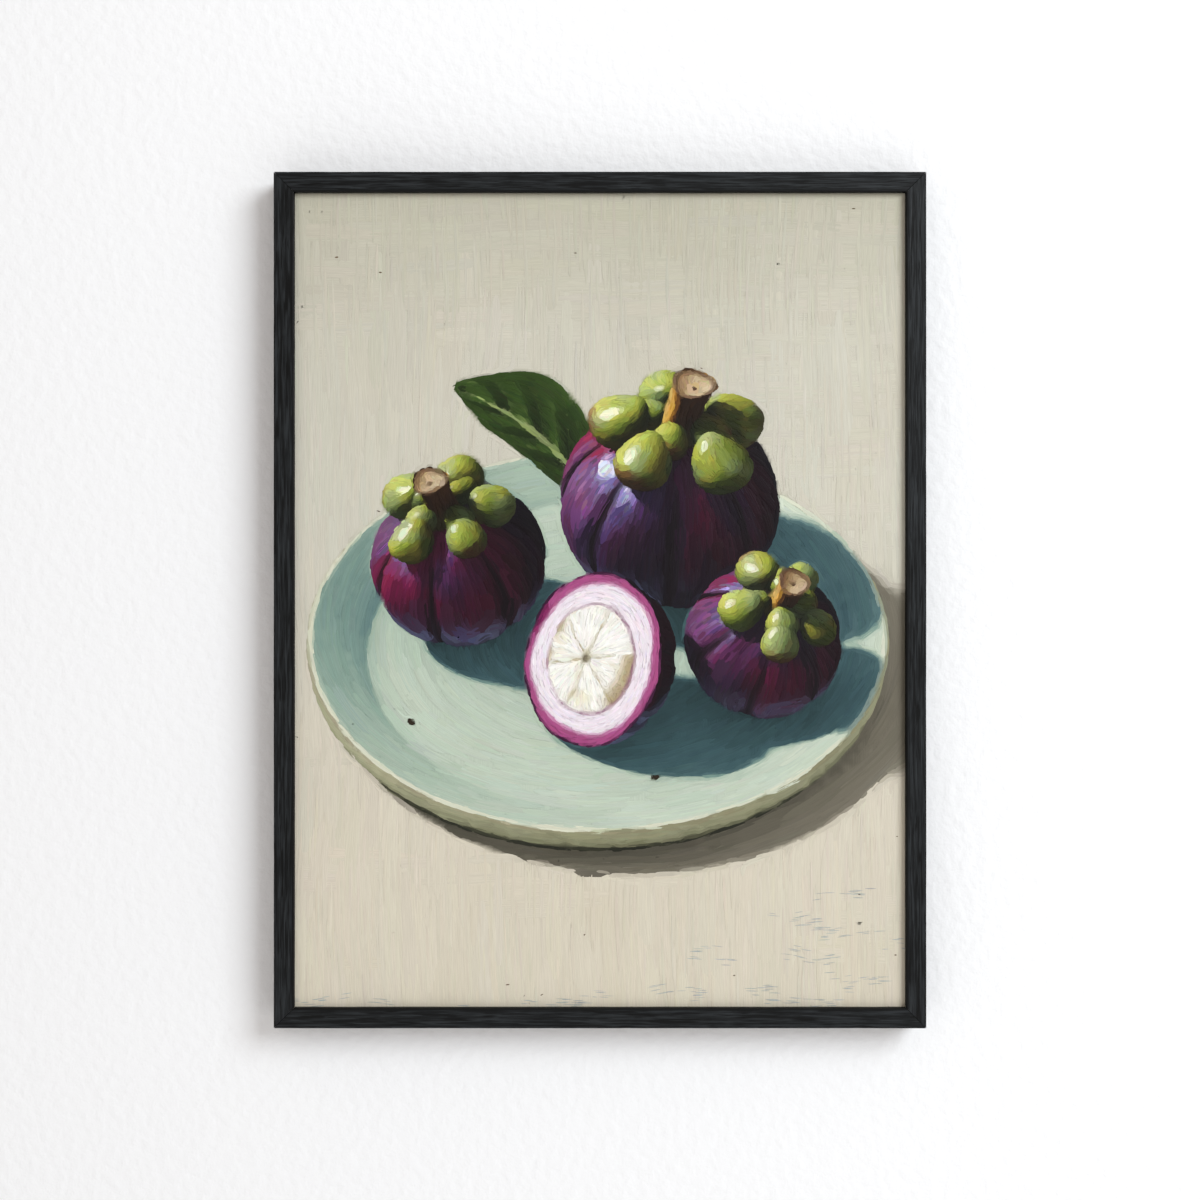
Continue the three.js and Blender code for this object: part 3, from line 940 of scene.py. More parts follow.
def colours(s, segments_of):
    """The colour of the painting at each point that look() saw, sRGB from 0 to 1."""
    out = np.zeros(s["kind"].shape + (3,))
    for kind, paint in PALETTE.items():
        out = np.where((s["kind"] == kind)[..., None], paint(s), out)
    u, v = parts(s["uv"])
    s["groove"] = np.zeros(out.shape[:2])
    for piece, segments in segments_of.items():
        bent = u + 0.005 * noise(v * 7, piece, 95)
        wave = (0.5 + 0.5 * np.cos(segments * TAU * bent)) ** 28
        depth = 0.9 + 0.35 * noise(np.round(segments * u) * 3.1, piece * 2.3, 96)
        wave = np.clip(wave * band(0.15, 0.32, 0.80, 0.93, v) * depth, 0, 1)
        wave = wave * (s["piece"] == piece)
        s["groove"] = s["groove"] + wave
        out = mix(out, "#0b0308", wave)
    return np.clip(out, 0, 1)


# Brush strokes


DRY = 0.94  # the light that dry colours give back, for each part of what the palette's do
PASS_STEP = 0.035 * MM  # how much higher each pass of strokes lies than the one before
LEVELS, LEVEL_STEP = 29, 0.0012 * MM  # within a pass, so that no two strokes that meet are level
STEPS = 9  # traced each way along a stroke
POINTS = 7  # kept on each stroke


def cells(s, points):
    rows, columns = s["piece"].shape
    i = ((points[..., 1] + OPENING[1] / 2 + MARGIN) / s["step"]).astype(int)
    j = ((points[..., 0] + OPENING[0] / 2 + MARGIN) / s["step"]).astype(int)
    return np.clip(i, 0, rows - 1), np.clip(j, 0, columns - 1)


def trace(s, colour, starts, way, reach, tolerance):
    """Follows the directions both ways from each start while the thing and its colour stay the same."""
    home = cells(s, starts)
    piece, shade = s["piece"][home], colour[home]
    arms = []
    for side in (1, -1):
        at, heading = starts.copy(), way[home] * side
        path, going, count = [at], np.ones(len(at), bool), np.zeros(len(at), int)
        for _ in range(STEPS):
            pull = way[cells(s, at)]
            pull = pull * np.where((pull * heading).sum(-1, keepdims=True) < 0, -1, 1)
            heading = unit(0.45 * heading + 0.55 * pull)
            ahead = at + heading * (reach / (2 * STEPS))[:, None]
            there = cells(s, ahead)
            going = going & (s["piece"][there] == piece)
            going &= np.abs(colour[there] - shade).max(-1) < tolerance
            at = np.where(going[:, None], ahead, at)
            count = count + going
            path.append(at)
        arms.append((np.array(path), count))
    (front, ahead), (back, behind) = arms
    line = np.concatenate([back[:0:-1], front]).transpose(1, 0, 2)
    index = (STEPS - behind)[:, None] + np.linspace(0, 1, POINTS) * (ahead + behind)[:, None]
    low = np.clip(np.floor(index).astype(int), 0, 2 * STEPS - 1)
    part = (index - low)[..., None]
    each = np.arange(len(starts))[:, None]
    return line[each, low] * (1 - part) + line[each, low + 1] * part, (ahead + behind) / (2 * STEPS)


def lay(s, colour, way, where, width, length, cover, tolerance, seed, wander, keep, jitter):
    """One pass of strokes: their paths, half widths and colours in millimetres and sRGB."""
    rng = np.random.default_rng(seed)
    spots = np.flatnonzero(where.ravel())
    count = int(cover * len(spots) * s["step"] ** 2 / (width * length * 0.8))
    i, j = np.unravel_index(rng.choice(spots, count), where.shape)
    starts = np.stack([s["u"][i, j], s["v"][i, j]], -1) + rng.uniform(-0.5, 0.5, (count, 2)) * s["step"]
    angle = wander * cloud(s["u"] / 38, s["v"] / 38, seed)
    cosine, sine = np.cos(angle), np.sin(angle)
    x, y = parts(way)
    bent = np.stack([x * cosine - y * sine, x * sine + y * cosine], -1)
    path, share = trace(s, colour, starts, bent, length * rng.uniform(0.6, 1.25, count), tolerance)
    size = width * rng.uniform(0.65, 1.2, count) * (0.55 + 0.45 * share)
    good = share > keep
    path, size = path[good], size[good]
    here = cells(s, path)
    local = colour[here]
    shade = 0.6 * local.mean(1, keepdims=True) + 0.4 * local
    value = 1 + rng.normal(0, jitter, (len(path), 1, 1))
    hue = rng.normal(0, 0.5 * jitter, (len(path), 1, 3)) * (0.06 + shade.mean(-1, keepdims=True))
    shade = np.clip(shade * value + hue, 0, 1)
    t = np.linspace(0, 1, POINTS)
    taper = np.sqrt(np.clip(t / 0.14 + 0.12, 0, 1) * np.clip((1 - t) / 0.30 + 0.06, 0, 1))
    return path, np.minimum(0.5 * size[:, None] * taper, s["inside"][here] + 0.35), shade


def inside(s, furthest=9.0):
    """How far each point is from the outline of the thing it is on, in millimetres."""
    piece, step = s["piece"], s["step"]
    far = np.full(piece.shape, furthest)
    for axis in (0, 1):
        change = np.diff(piece, axis=axis) != 0
        for side in (0, 1):
            near = np.moveaxis(far, axis, 0)[side : len(np.moveaxis(far, axis, 0)) - 1 + side]
            near[np.moveaxis(change, axis, 0)] = 0.5 * step
    for _ in range(int(furthest / step)):
        for axis in (0, 1):
            for shift in (1, -1):
                far = np.minimum(far, np.roll(far, shift, axis) + step)
    return blur(far)


def edge_way(colour, way, strength=0.012):
    """Directions that run along the edges of shapes where there are any, and else as given."""
    grey = blur(colour.mean(-1), 2)
    down, right = np.gradient(grey)
    steep = np.hypot(down, right)
    edge = unit(np.stack([-down, right], -1))
    edge = edge * np.where((edge * way).sum(-1, keepdims=True) < 0, -1, 1)
    return unit(mix(way, edge, smooth(0.5 * strength, 2 * strength, steep))), steep


def ground_way(s, angle):
    """Nearly straight strokes over the ground, which follow the plate's round where it is in shade."""
    angle = angle + 0.10 * cloud(s["u"] / 90, s["v"] / 90, 92)
    straight = np.stack([np.cos(angle), np.sin(angle)], -1)
    x, y, _ = parts(s["place"])
    round_plate = unit(np.stack([-y, x, 0 * x], -1))
    round_plate = np.stack([round_plate @ EYE_RIGHT, round_plate @ EYE_UP], -1)
    round_plate = round_plate * np.where((round_plate * straight).sum(-1, keepdims=True) < 0, -1, 1)
    return unit(mix(straight, round_plate, smooth(0.01, 0.08, blur(shade_on_table(s), 8))))


def bristle_profile():
    """A stroke's closed section: ridged on top, flat below, one unit to each side."""
    x = np.array([-1, -0.55, 0.0, 0.55, 1])
    y = np.array([0, 0.85, 0.5, 1.0, 0])
    points = np.stack([y, x, 0 * x], -1)
    profile = mesh_object("bristle_profile", points, [])
    mesh = profile.data
    mesh.edges.add(len(x))
    ends = np.stack([np.arange(len(x)), (np.arange(len(x)) + 1) % len(x)], -1)
    mesh.edges.foreach_set("vertices", ends.ravel())
    give(mesh, "bristle", "FLOAT", "POINT", x)
    return profile


def stroke_tree():
    """Geometry Nodes that sweep the bristle profile along every stroke's path."""
    tree, given = new_tree("Lay strokes", ("Bristle profile", "Object"), ("Paint thickness", "Float"))
    curve = add(tree, "GeometryNodeMeshToCurve", {"Mesh": given["Geometry"]}).outputs[0]
    facing_out = {"Curve": curve, "Normal": (0, -1, 0)}
    curve = add(tree, "GeometryNodeSetCurveNormal", facing_out, mode="FREE").outputs[0]
    width = add(tree, "GeometryNodeInputNamedAttribute", {"Name": "half_width"}, data_type="FLOAT")
    travel = add(tree, "GeometryNodeSplineParameter").outputs["Length"]
    kept = {"Geometry": curve, "Name": "reach", "Value": travel}
    curve = add(tree, "GeometryNodeStoreNamedAttribute", kept, data_type="FLOAT", domain="POINT").outputs[0]
    section = {"Object": given["Bristle profile"]}
    profile = add(tree, "GeometryNodeObjectInfo", section).outputs["Geometry"]
    flat = {"X": given["Paint thickness"], "Y": 1.0, "Z": 1.0}
    squat = add(tree, "ShaderNodeCombineXYZ", flat).outputs[0]
    profile = add(tree, "GeometryNodeTransform", {"Geometry": profile, "Scale": squat}).outputs[0]
    profile = add(tree, "GeometryNodeMeshToCurve", {"Mesh": profile}).outputs[0]
    swept = add(tree, "GeometryNodeCurveToMesh", {
        "Curve": curve, "Profile Curve": profile, "Scale": width.outputs["Attribute"], "Fill Caps": True})
    return end_tree(tree, swept, given)


def new_tree(name, *inputs):
    """A Geometry Nodes tree with named inputs; returns it and the sockets of what it is given."""
    tree = bpy.data.node_groups.new(name, "GeometryNodeTree")
    for label, kind in (("Geometry", "Geometry"), *inputs, ("Material", "Material")):
        tree.interface.new_socket(label, in_out="INPUT", socket_type=f"NodeSocket{kind}")
    tree.interface.new_socket("Geometry", in_out="OUTPUT", socket_type="NodeSocketGeometry")
    return tree, add(tree, "NodeGroupInput").outputs


def end_tree(tree, made, given):
    """Ends a tree with real geometry in the material that it is given."""
    real = add(tree, "GeometryNodeRealizeInstances", {"Geometry": made.outputs[0]}).outputs[0]
    done = add(tree, "GeometryNodeSetMaterial", {"Geometry": real, "Material": given["Material"]})
    add(tree, "NodeGroupOutput", {"Geometry": done.outputs[0]})
    return tree


def run_tree(thing, tree, inputs):
    """Runs a tree on an object, its inputs set by their sockets' identifiers, and keeps the mesh."""
    modifier = thing.modifiers.new(tree.name, "NODES")
    modifier.node_group = tree
    for item in tree.interface.items_tree:
        if item.item_type == "SOCKET" and item.in_out == "INPUT" and item.name in inputs:
            modifier[item.identifier] = inputs[item.name]
    return settle(thing)


def panel_point(points, lift):
    """Millimetres on the picture as places in front of the panel."""
    x = MIDDLE[0] + points[..., 0] * MM
    z = MIDDLE[2] + points[..., 1] * MM
    return np.stack([x, PANEL_LOW[1] - lift, z], -1)


def flat_map(mesh):
    """A map that lays the picture's face out flat, as it is seen."""
    points = np.zeros(len(mesh.vertices) * 3)
    mesh.vertices.foreach_get("co", points)
    points = points.reshape(-1, 3)
    size = PANEL_HIGH[2] - PANEL_LOW[2]
    uv = np.stack([points[:, 0] - PANEL_LOW[0], points[:, 2] - PANEL_LOW[2]], 1) / size
    give_map(mesh, "OFBake", np.clip(uv, 0, 1))


def stroke_piece(name, passes, first_lift, tree, profile, material, thickness, every):
    """All the strokes of one piece of the painting, the first laid lowest; short ones need only
    every second or third point of their paths."""
    paths, halves, shades, lifts = [], [], [], []
    lift = first_lift
    for path, half, shade in passes:
        path, half, shade = path[:, ::every], half[:, ::every], shade[:, ::every]
        levels = np.arange(len(path)) % LEVELS * LEVEL_STEP
        paths.append(path)
        halves.append(half * MM)
        shades.append(shade)
        lifts.append(np.broadcast_to((lift + levels)[:, None], half.shape))
        lift += PASS_STEP
    path, half, shade, height = (np.concatenate(part) for part in (paths, halves, shades, lifts))
    edge = (PANEL_HIGH - PANEL_LOW)[[0, 2]] / 2 / MM - 0.3 - half[..., None] / MM
    path = np.clip(path, -edge, edge)
    count = len(path)
    points = panel_point(path, height).reshape(-1, 3)
    thing = mesh_object(name, points, [])
    mesh = thing.data
    index = np.arange(half.size).reshape(half.shape)
    ends = np.stack([index[:, :-1], index[:, 1:]], -1).reshape(-1, 2)
    mesh.edges.add(len(ends))
    mesh.edges.foreach_set("vertices", ends.ravel())
    colour = np.concatenate([DRY * to_linear(shade), np.ones(shade.shape[:2] + (1,))], -1)
    give(mesh, "paint", "FLOAT_COLOR", "POINT", colour)
    give(mesh, "half_width", "FLOAT", "POINT", half)
    offset = np.random.default_rng(count).uniform(0, 3, (count, 1)) * np.ones(half.shape[1])
    give(mesh, "offset", "FLOAT", "POINT", offset)
    run_tree(thing, tree, {"Bristle profile": profile, "Paint thickness": thickness, "Material": material})
    smooth_shade(thing, 75)
    flat_map(thing.data)
    return thing


def ground_piece(s, colour, paint, board):
    """The panel itself, its face primed and roughly painted in under the strokes."""
    spacing = 2.2 * MM
    columns = int((PANEL_HIGH[0] - PANEL_LOW[0]) / spacing)
    rows = int((PANEL_HIGH[2] - PANEL_LOW[2]) / spacing)
    x, z = np.meshgrid(np.linspace(PANEL_LOW[0], PANEL_HIGH[0], columns),
                       np.linspace(PANEL_LOW[2], PANEL_HIGH[2], rows))
    on_panel = np.stack([(x - MIDDLE[0]) / MM, (z - MIDDLE[2]) / MM], -1)
    swell = 0.03 * MM * noise(on_panel[..., 0] / 1.9, on_panel[..., 1] / 30, 5)
    face = panel_point(on_panel, 0.05 * MM + swell)
    quads, rim = sheet_faces(rows, columns)
    back = face.reshape(-1, 3)[rim].copy()
    back[:, 1] = PANEL_HIGH[1]
    ring = rows * columns + np.arange(len(rim))
    sides = np.stack([rim, ring, np.roll(ring, -1), np.roll(rim, -1)], -1)
    points = np.concatenate([face.reshape(-1, 3), back])
    faces = [*quads.tolist(), *sides.tolist(), ring[::-1].tolist()]
    thing = mesh_object("painted_panel", points, faces, [paint, board])
    mesh = thing.data
    kinds = np.zeros(len(mesh.polygons), int)
    kinds[len(quads):] = 1
    mesh.polygons.foreach_set("material_index", kinds)
    seen = blur(colour, 2)[cells(s, on_panel.reshape(-1, 2))]
    shade = np.concatenate([seen, np.full((len(rim), 3), 0.6)])
    give(mesh, "paint", "FLOAT_COLOR", "POINT",
         np.concatenate([DRY * to_linear(shade), np.ones((len(shade), 1))], -1))
    smooth_shade(thing, 50)
    flat_map(mesh)
    return thing


def paint_picture(looks):
    """The panel and its layers of strokes, from the ground up."""
    still = set_the_table()
    s = look(still, looks.fineness, 4, 6)
    s["inside"] = inside(s)
    colour = colours(s, still.segments)
    kind = s["kind"]
    upright_way, level_way = ground_way(s, math.pi / 2), ground_way(s, 0.0)
    way = np.where((kind == TABLE)[..., None], upright_way, s["way"])
    fine, steep = edge_way(colour, way)
    broad, _ = edge_way(blur(colour, 4), way, 0.010)
    busy = blur(steep, 3) > 0.010
    table, plate = kind == TABLE, kind == PLATE
    rind, leaf, flesh = kind == RIND, kind == LEAF, kind == CUT
    calyx = (kind == SEPAL) | (kind == STEM) | (kind == CRUMB)
    level = smooth(150, 230, s["v"]) + smooth(0.1, 0.3, cloud(s["u"] / 110, s["v"] / 50, 93)) > 0.5
    shine = rind & (s["gloss"] ** 3 * s["open"] > 0.2)
    grey = mix(colour, "#98a5ab", 0.7)
    umber = np.broadcast_to(tint("#5b4632"), colour.shape)
    border = smooth(-170, -300, s["v"]) * smooth(-60, 230, s["u"]) + smooth(-285, -300, s["v"])
    patches = smooth(0.1, 0.4, cloud(s["u"] / 24, s["v"] / 8, 94))
    scuffed = table & ~busy & (border * patches > 0.25)
    paint = oil_paint("oil_paint_strokes", False)
    ground = ground_piece(s, colour, oil_paint("oil_paint_ground", True),
                          fibreboard("primed_fibreboard", "#a98d66", "#8a6f4d"))
    tree, profile = stroke_tree(), bristle_profile()

    def outline(where, width, length, seed):
        rim = where & (s["inside"] < 0.9 * width)
        return colour, fine, rim, width, length, 2.2, 0.22, seed, 0.0, 0.25, 0.01

    def strokes(name, lift, body, every, *passes):
        laid = [lay(s, *each) for each in passes]
        return stroke_piece(name, laid, lift * MM, tree, profile, paint, body * looks.relief, every)

    # Each pass: its colours, its directions, where it goes, the strokes' width and length, how thickly
    # they cover, how far the colour may change along one, the seed, how far they wander, the shortest
    # that is kept and how much their colours vary.
    pieces = [
        strokes("background_strokes", 0.04, 0.28, 1,
            (colour, upright_way, table, 14.0, 90, 1.2, 0.12, 101, 0.1, 0.1, 0.006),
            (colour, level_way, table & level, 9.0, 80, 1.4, 0.12, 102, 0.1, 0.2, 0.006),
            (colour, upright_way, table & ~level, 11.0, 80, 1.3, 0.10, 103, 0.06, 0.2, 0.006),
            (colour, fine, table & busy, 3.4, 22, 1.8, 0.07, 105, 0.06, 0.3, 0.008)),
        strokes("bristle_marks", 0.17, 0.35, 2,
            (colour, upright_way, table & ~busy, 2.0, 42, 0.5, 0.05, 106, 0.04, 0.3, 0.008),
            (grey, level_way, scuffed, 0.45, 8, 0.15, 0.5, 107, 0.3, 0.3, 0.02),
            (umber, level_way, table, 0.8, 2.2, 0.00012, 0.5, 108, 0.6, 0.3, 0.05)),
        strokes("plate_strokes", 0.13, 0.6, 1,
            (colour, way, plate, 7.0, 44, 1.5, 0.12, 111, 0.14, 0.3, 0.012),
            (colour, broad, plate, 3.6, 28, 1.3, 0.07, 112, 0.12, 0.3, 0.010),
            (colour, fine, plate & busy, 1.9, 16, 1.6, 0.08, 113, 0.05, 0.3, 0.008),
            outline(plate, 2.2, 26, 114)),
        strokes("fruit_strokes", 0.19, 1.0, 1,
            (colour, broad, rind, 10.0, 28, 1.6, 0.2, 121, 0.2, 0.25, 0.06),
            (colour, broad, rind, 5.6, 20, 1.4, 0.12, 122, 0.2, 0.3, 0.06),
            (colour, fine, rind, 3.2, 16, 1.1, 0.10, 123, 0.08, 0.3, 0.05),
            outline(rind, 2.4, 22, 125),
            (colour, way, shine, 2.8, 11, 1.5, 0.16, 128, 0.2, 0.3, 0.10),
            (colour, way, s["groove"] > 0.35, 1.8, 18, 2.6, 0.25, 124, 0.0, 0.3, 0.02)),
        strokes("leaf_strokes", 0.17, 0.8, 2,
            (colour, broad, leaf, 4.5, 20, 1.8, 0.14, 126, 0.2, 0.3, 0.04),
            (colour, fine, leaf, 2.0, 11, 1.5, 0.09, 127, 0.12, 0.3, 0.04),
            outline(leaf, 1.8, 16, 129)),
        strokes("calyx_strokes", 0.3, 1.0, 2,
            (colour, broad, calyx, 4.4, 12, 1.8, 0.18, 131, 0.2, 0.3, 0.04),
            (colour, fine, calyx, 2.0, 8, 1.5, 0.13, 132, 0.12, 0.3, 0.03),
            outline(calyx, 1.5, 9, 135)),
        strokes("flesh_strokes", 0.3, 1.0, 2,
            (colour, way, flesh, 2.6, 12, 1.6, 0.14, 133, 0.2, 0.3, 0.02),
            (colour, fine, flesh, 1.5, 8, 1.3, 0.10, 134, 0.12, 0.3, 0.02),
            outline(flesh, 1.8, 16, 136)),
    ]
    bpy.data.objects.remove(profile)
    return ground, pieces


# Boards and strips behind the picture


def slab(name, node, material, wave, seed):
    """A board that fills a node's box, its faces in a grid, its edges eased, and not quite flat."""
    low, high = corners(node)
    size = high - low
    spacing, ease = 9 * MM, 0.5 * MM

    def stops(length):
        inner = np.linspace(ease, length - ease, max(2, int(round(length / spacing)) + 1))
        return np.concatenate([[0.0], [0.3 * ease], inner, [length - 0.3 * ease], [length]])

    a, b = stops(size[0]), stops(size[2])
    near = np.minimum(np.minimum(a, size[0] - a)[None, :], np.minimum(b, size[2] - b)[:, None])
    sink = ease * (1 - np.sqrt(np.clip(1 - (1 - np.clip(near / ease, 0, 1)) ** 2, 0, 1)))
    x, z = np.meshgrid(low[0] + a, low[2] + b)
    swell = wave * (0.5 + 0.5 * noise(x / 0.07, z / 0.07, seed))
    front = np.stack([x, low[1] + sink, z], -1)
    back = np.stack([x, high[1] - sink - swell, z], -1)
    quads, rim = sheet_faces(*x.shape)
    following = np.roll(rim, -1)
    sides = np.stack([rim, rim + x.size, following + x.size, following], -1)
    points = np.concatenate([front.reshape(-1, 3), back.reshape(-1, 3)])
    faces = [*quads.tolist(), *(quads[:, ::-1] + x.size).tolist(), *sides.tolist()]
    thing = mesh_object(name, points, faces, [material])
    lengthwise = 0 if size[0] > size[2] else 2
    crosswise = points[:, 2 - lengthwise] + 0.9 * points[:, 1]
    give_map(thing.data, "grain", np.stack([points[:, lengthwise] + seed, crosswise], 1))
    smooth_shade(thing, 50)
    return thing


# Fittings


def turned(name, profile, sides):
    """A closed round piece about the Y axis from (radius, y) points that run from axis to axis."""
    angles = np.arange(sides) * TAU / sides
    radius, depth = np.array(profile)[1:-1].T[..., None]
    rings = np.stack([radius * np.cos(angles), depth + 0 * angles, radius * np.sin(angles)], -1)
    points = np.concatenate([rings.reshape(-1, 3), [(0, profile[0][1], 0), (0, profile[-1][1], 0)]])
    faces, first, last = tube_faces(len(radius), sides)
    last.reverse()
    faces += [[len(points) - 2, a, b] for a, b in zip(first, first[1:] + first[:1])]
    faces += [[len(points) - 1, b, a] for a, b in zip(last, last[1:] + last[:1])]
    thing = mesh_object(name, points, faces)
    outward(thing)
    return thing


def outward(thing):
    """Turns a closed mesh's faces outwards."""
    shape = bmesh.new()
    shape.from_mesh(thing.data)
    bmesh.ops.remove_doubles(shape, verts=shape.verts, dist=1e-7)
    bmesh.ops.recalc_face_normals(shape, faces=shape.faces)
    shape.to_mesh(thing.data)
    shape.free()


def pressed(name, outline, hole, thickness, edge):
    """A flat pressed piece from an outline in (x, inwards) points, with a round hole and broken edges."""
    shape = bmesh.new()
    loops = [outline] + ([hole] if len(hole) else [])
    edges = []
    for loop in loops:
        verts = [shape.verts.new((x, 0, -z)) for x, z in loop]
        edges += [shape.edges.new((verts[i], verts[(i + 1) % len(verts)])) for i in range(len(verts))]
    faces = bmesh.ops.triangle_fill(shape, edges=edges, use_beauty=True)["geom"]
    faces = [face for face in faces if isinstance(face, bmesh.types.BMFace)]
    raised = bmesh.ops.extrude_face_region(shape, geom=faces)["geom"]
    moved = [vert for vert in raised if isinstance(vert, bmesh.types.BMVert)]
    bmesh.ops.translate(shape, verts=moved, vec=(0, thickness, 0))
    bmesh.ops.recalc_face_normals(shape, faces=shape.faces)
    mesh = bpy.data.meshes.new(name)
    shape.to_mesh(mesh)
    shape.free()
    thing = put(name, mesh)
    bevel = thing.modifiers.new("Broken edges", "BEVEL")
    bevel.width, bevel.segments = edge, 3
    bevel.limit_method, bevel.angle_limit = "ANGLE", math.radians(50)
    return settle(thing)


def cut_recess(thing, tool):
    """Takes a tool's shape out of a piece."""
    boolean = thing.modifiers.new("Recess", "BOOLEAN")
    boolean.object, boolean.operation, boolean.solver = tool, "DIFFERENCE", "EXACT"
    settle(thing)
    bpy.data.objects.remove(tool)
    return thing


def cross_driver(width, depth, top):
    """A tapered four-winged driver bit that points down Y."""
    reach, wing = width / 2, width / 9
    points, faces = [], []
    for turn in (0, 1):
        for level, part in ((top + depth * 0.2, 1.08), (top - depth, 0.35)):
            for x, z in ((-1, -1), (1, -1), (1, 1), (-1, 1)):
                side, end = x * reach * part, z * wing * (0.6 + 0.4 * part)
                points.append((side, level, end) if not turn else (end, level, side))
        base = 8 * turn
        for face in ((0, 1, 2, 3), (7, 6, 5, 4), (0, 4, 5, 1), (1, 5, 6, 2), (2, 6, 7, 3), (3, 7, 4, 0)):
            faces.append([base + i for i in face])
    thing = mesh_object("driver_bit", points, faces)
    outward(thing)
    return thing


def copies_tree():
    """Geometry Nodes that set a copy of one fitting on every point, turned about Y."""
    tree, given = new_tree("Set fittings", ("Fitting", "Object"), ("Size", "Float"))
    turn = add(tree, "GeometryNodeInputNamedAttribute", {"Name": "turn"}, data_type="FLOAT")
    spin = add(tree, "ShaderNodeCombineXYZ", {"Y": turn.outputs["Attribute"]}).outputs[0]
    fitting = add(tree, "GeometryNodeObjectInfo", {"Object": given["Fitting"]}).outputs["Geometry"]
    copies = add(tree, "GeometryNodeInstanceOnPoints", {
        "Points": given["Geometry"], "Instance": fitting, "Rotation": spin, "Scale": given["Size"]})
    return end_tree(tree, copies, given)


def set_fittings(name, fitting, places, turns, material):
    """One piece made of a copy of the fitting at each place."""
    thing = mesh_object(name, places, [])
    give(thing.data, "turn", "FLOAT", "POINT", turns)
    tree = bpy.data.node_groups.get("Set fittings") or copies_tree()
    run_tree(thing, tree, {"Fitting": fitting, "Size": 1.0, "Material": material})
    smooth_shade(thing, 35)
    return thing


SCREW_HEAD = 1.6 * MM  # how far each head stands up from what it holds
NAIL_HEAD = 0.9 * MM


def nodes_named(prefix):
    return sorted(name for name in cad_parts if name.startswith(prefix))


def middle(node):
    low, high = corners(node)
    return (low + high) / 2


def head_and_length(node):
    """A round fitting's largest radius and its length."""
    size = extent(node)
    return size[0] / 2, size[1]


def screw(node):
    """A pan-head wood screw with a cross recess; its head's underside at the origin."""
    head, length = head_and_length(node)
    rise, shank = 0.5 * head, 0.47 * head
    dome = [(head * math.cos(a), rise * (0.35 + 0.65 * math.sin(a))) for a in np.linspace(0, 1.35, 7)]
    profile = [(0, rise - length), (0.3 * shank, rise - length + shank)]
    profile += [(shank, -7 * MM), (shank, 0), (head * 0.94, 0), (head, rise * 0.12), *dome, (0, rise)]
    return cut_recess(turned("screw", profile, 40), cross_driver(1.15 * head, 0.55 * rise, rise))


def nail(node):
    """A domed wire nail; its head's underside at the origin."""
    head, length = head_and_length(node)
    rise, shank = NAIL_HEAD, 0.42 * head
    dome = [(head * math.cos(a), rise * (0.3 + 0.7 * math.sin(a))) for a in np.linspace(0, 1.4, 6)]
    profile = [(0, rise - length), (shank, -6 * MM), (shank, 0), (head * 0.95, 0), *dome, (0, rise)]
    return turned("nail", profile, 28)


def wall_pad(node):
    """A round soft foot with a rolled rim and a dished face; its flat back at the origin."""
    radius, rise = head_and_length(node)
    flare = [(radius, 0.25 * rise), (0.965 * radius, 0.5 * rise), (0.90 * radius, 0.78 * rise)]
    roll = [(radius * (0.80 + 0.08 * math.cos(a)), rise * (0.84 + 0.16 * math.sin(a)))
            for a in np.linspace(0.3, math.pi, 7)]
    profile = [(0, 0), (0.97 * radius, 0), (radius, 0.06 * rise), *flare, *roll,
               (0.62 * radius, 0.80 * rise), (0, 0.78 * rise)]
    return turned("wall_pad", profile, 48)


def turn_button(node):
    """A flat turn button with round ends, the centre of its bore at the origin."""
    size = extent(node)
    half = min(size[0], size[2]) / 2
    reach = max(size[0], size[2]) - half
    ends = arc((0, 0), half, math.pi, TAU, 17) + arc((0, reach - half), half, 0, math.pi, 17)
    return pressed("turn_button", ends, arc((0, 0), 1.8 * MM, 0, TAU, 25)[:-1], size[1], 0.22 * MM)


def wedge(node):
    """A joiner's steel wedge for the mitre: a thin right-angled strip, rounded at its corner."""
    size = extent(node)
    leg, sheet, bend = size[0], 0.6 * MM, 1.2 * MM
    turn = [(math.cos(a), math.sin(a)) for a in np.linspace(0, math.pi / 2, 6)[1:-1]]
    outer = [(bend - bend * c, bend - bend * d) for c, d in turn]
    outer = [(0, leg), (0, bend), *outer, (bend, 0), (leg, 0)]
    inner = [(bend - (bend - sheet) * d, bend - (bend - sheet) * c) for c, d in turn]
    inner = [(leg, sheet), (bend, sheet), *inner, (sheet, bend), (sheet, leg)]
    outline = [(-(x - leg / 2), -(z - leg / 2)) for x, z in outer + inner]
    return pressed("wedge", outline, [], size[1] + GAP + 0.03 * MM, 0.08 * MM)


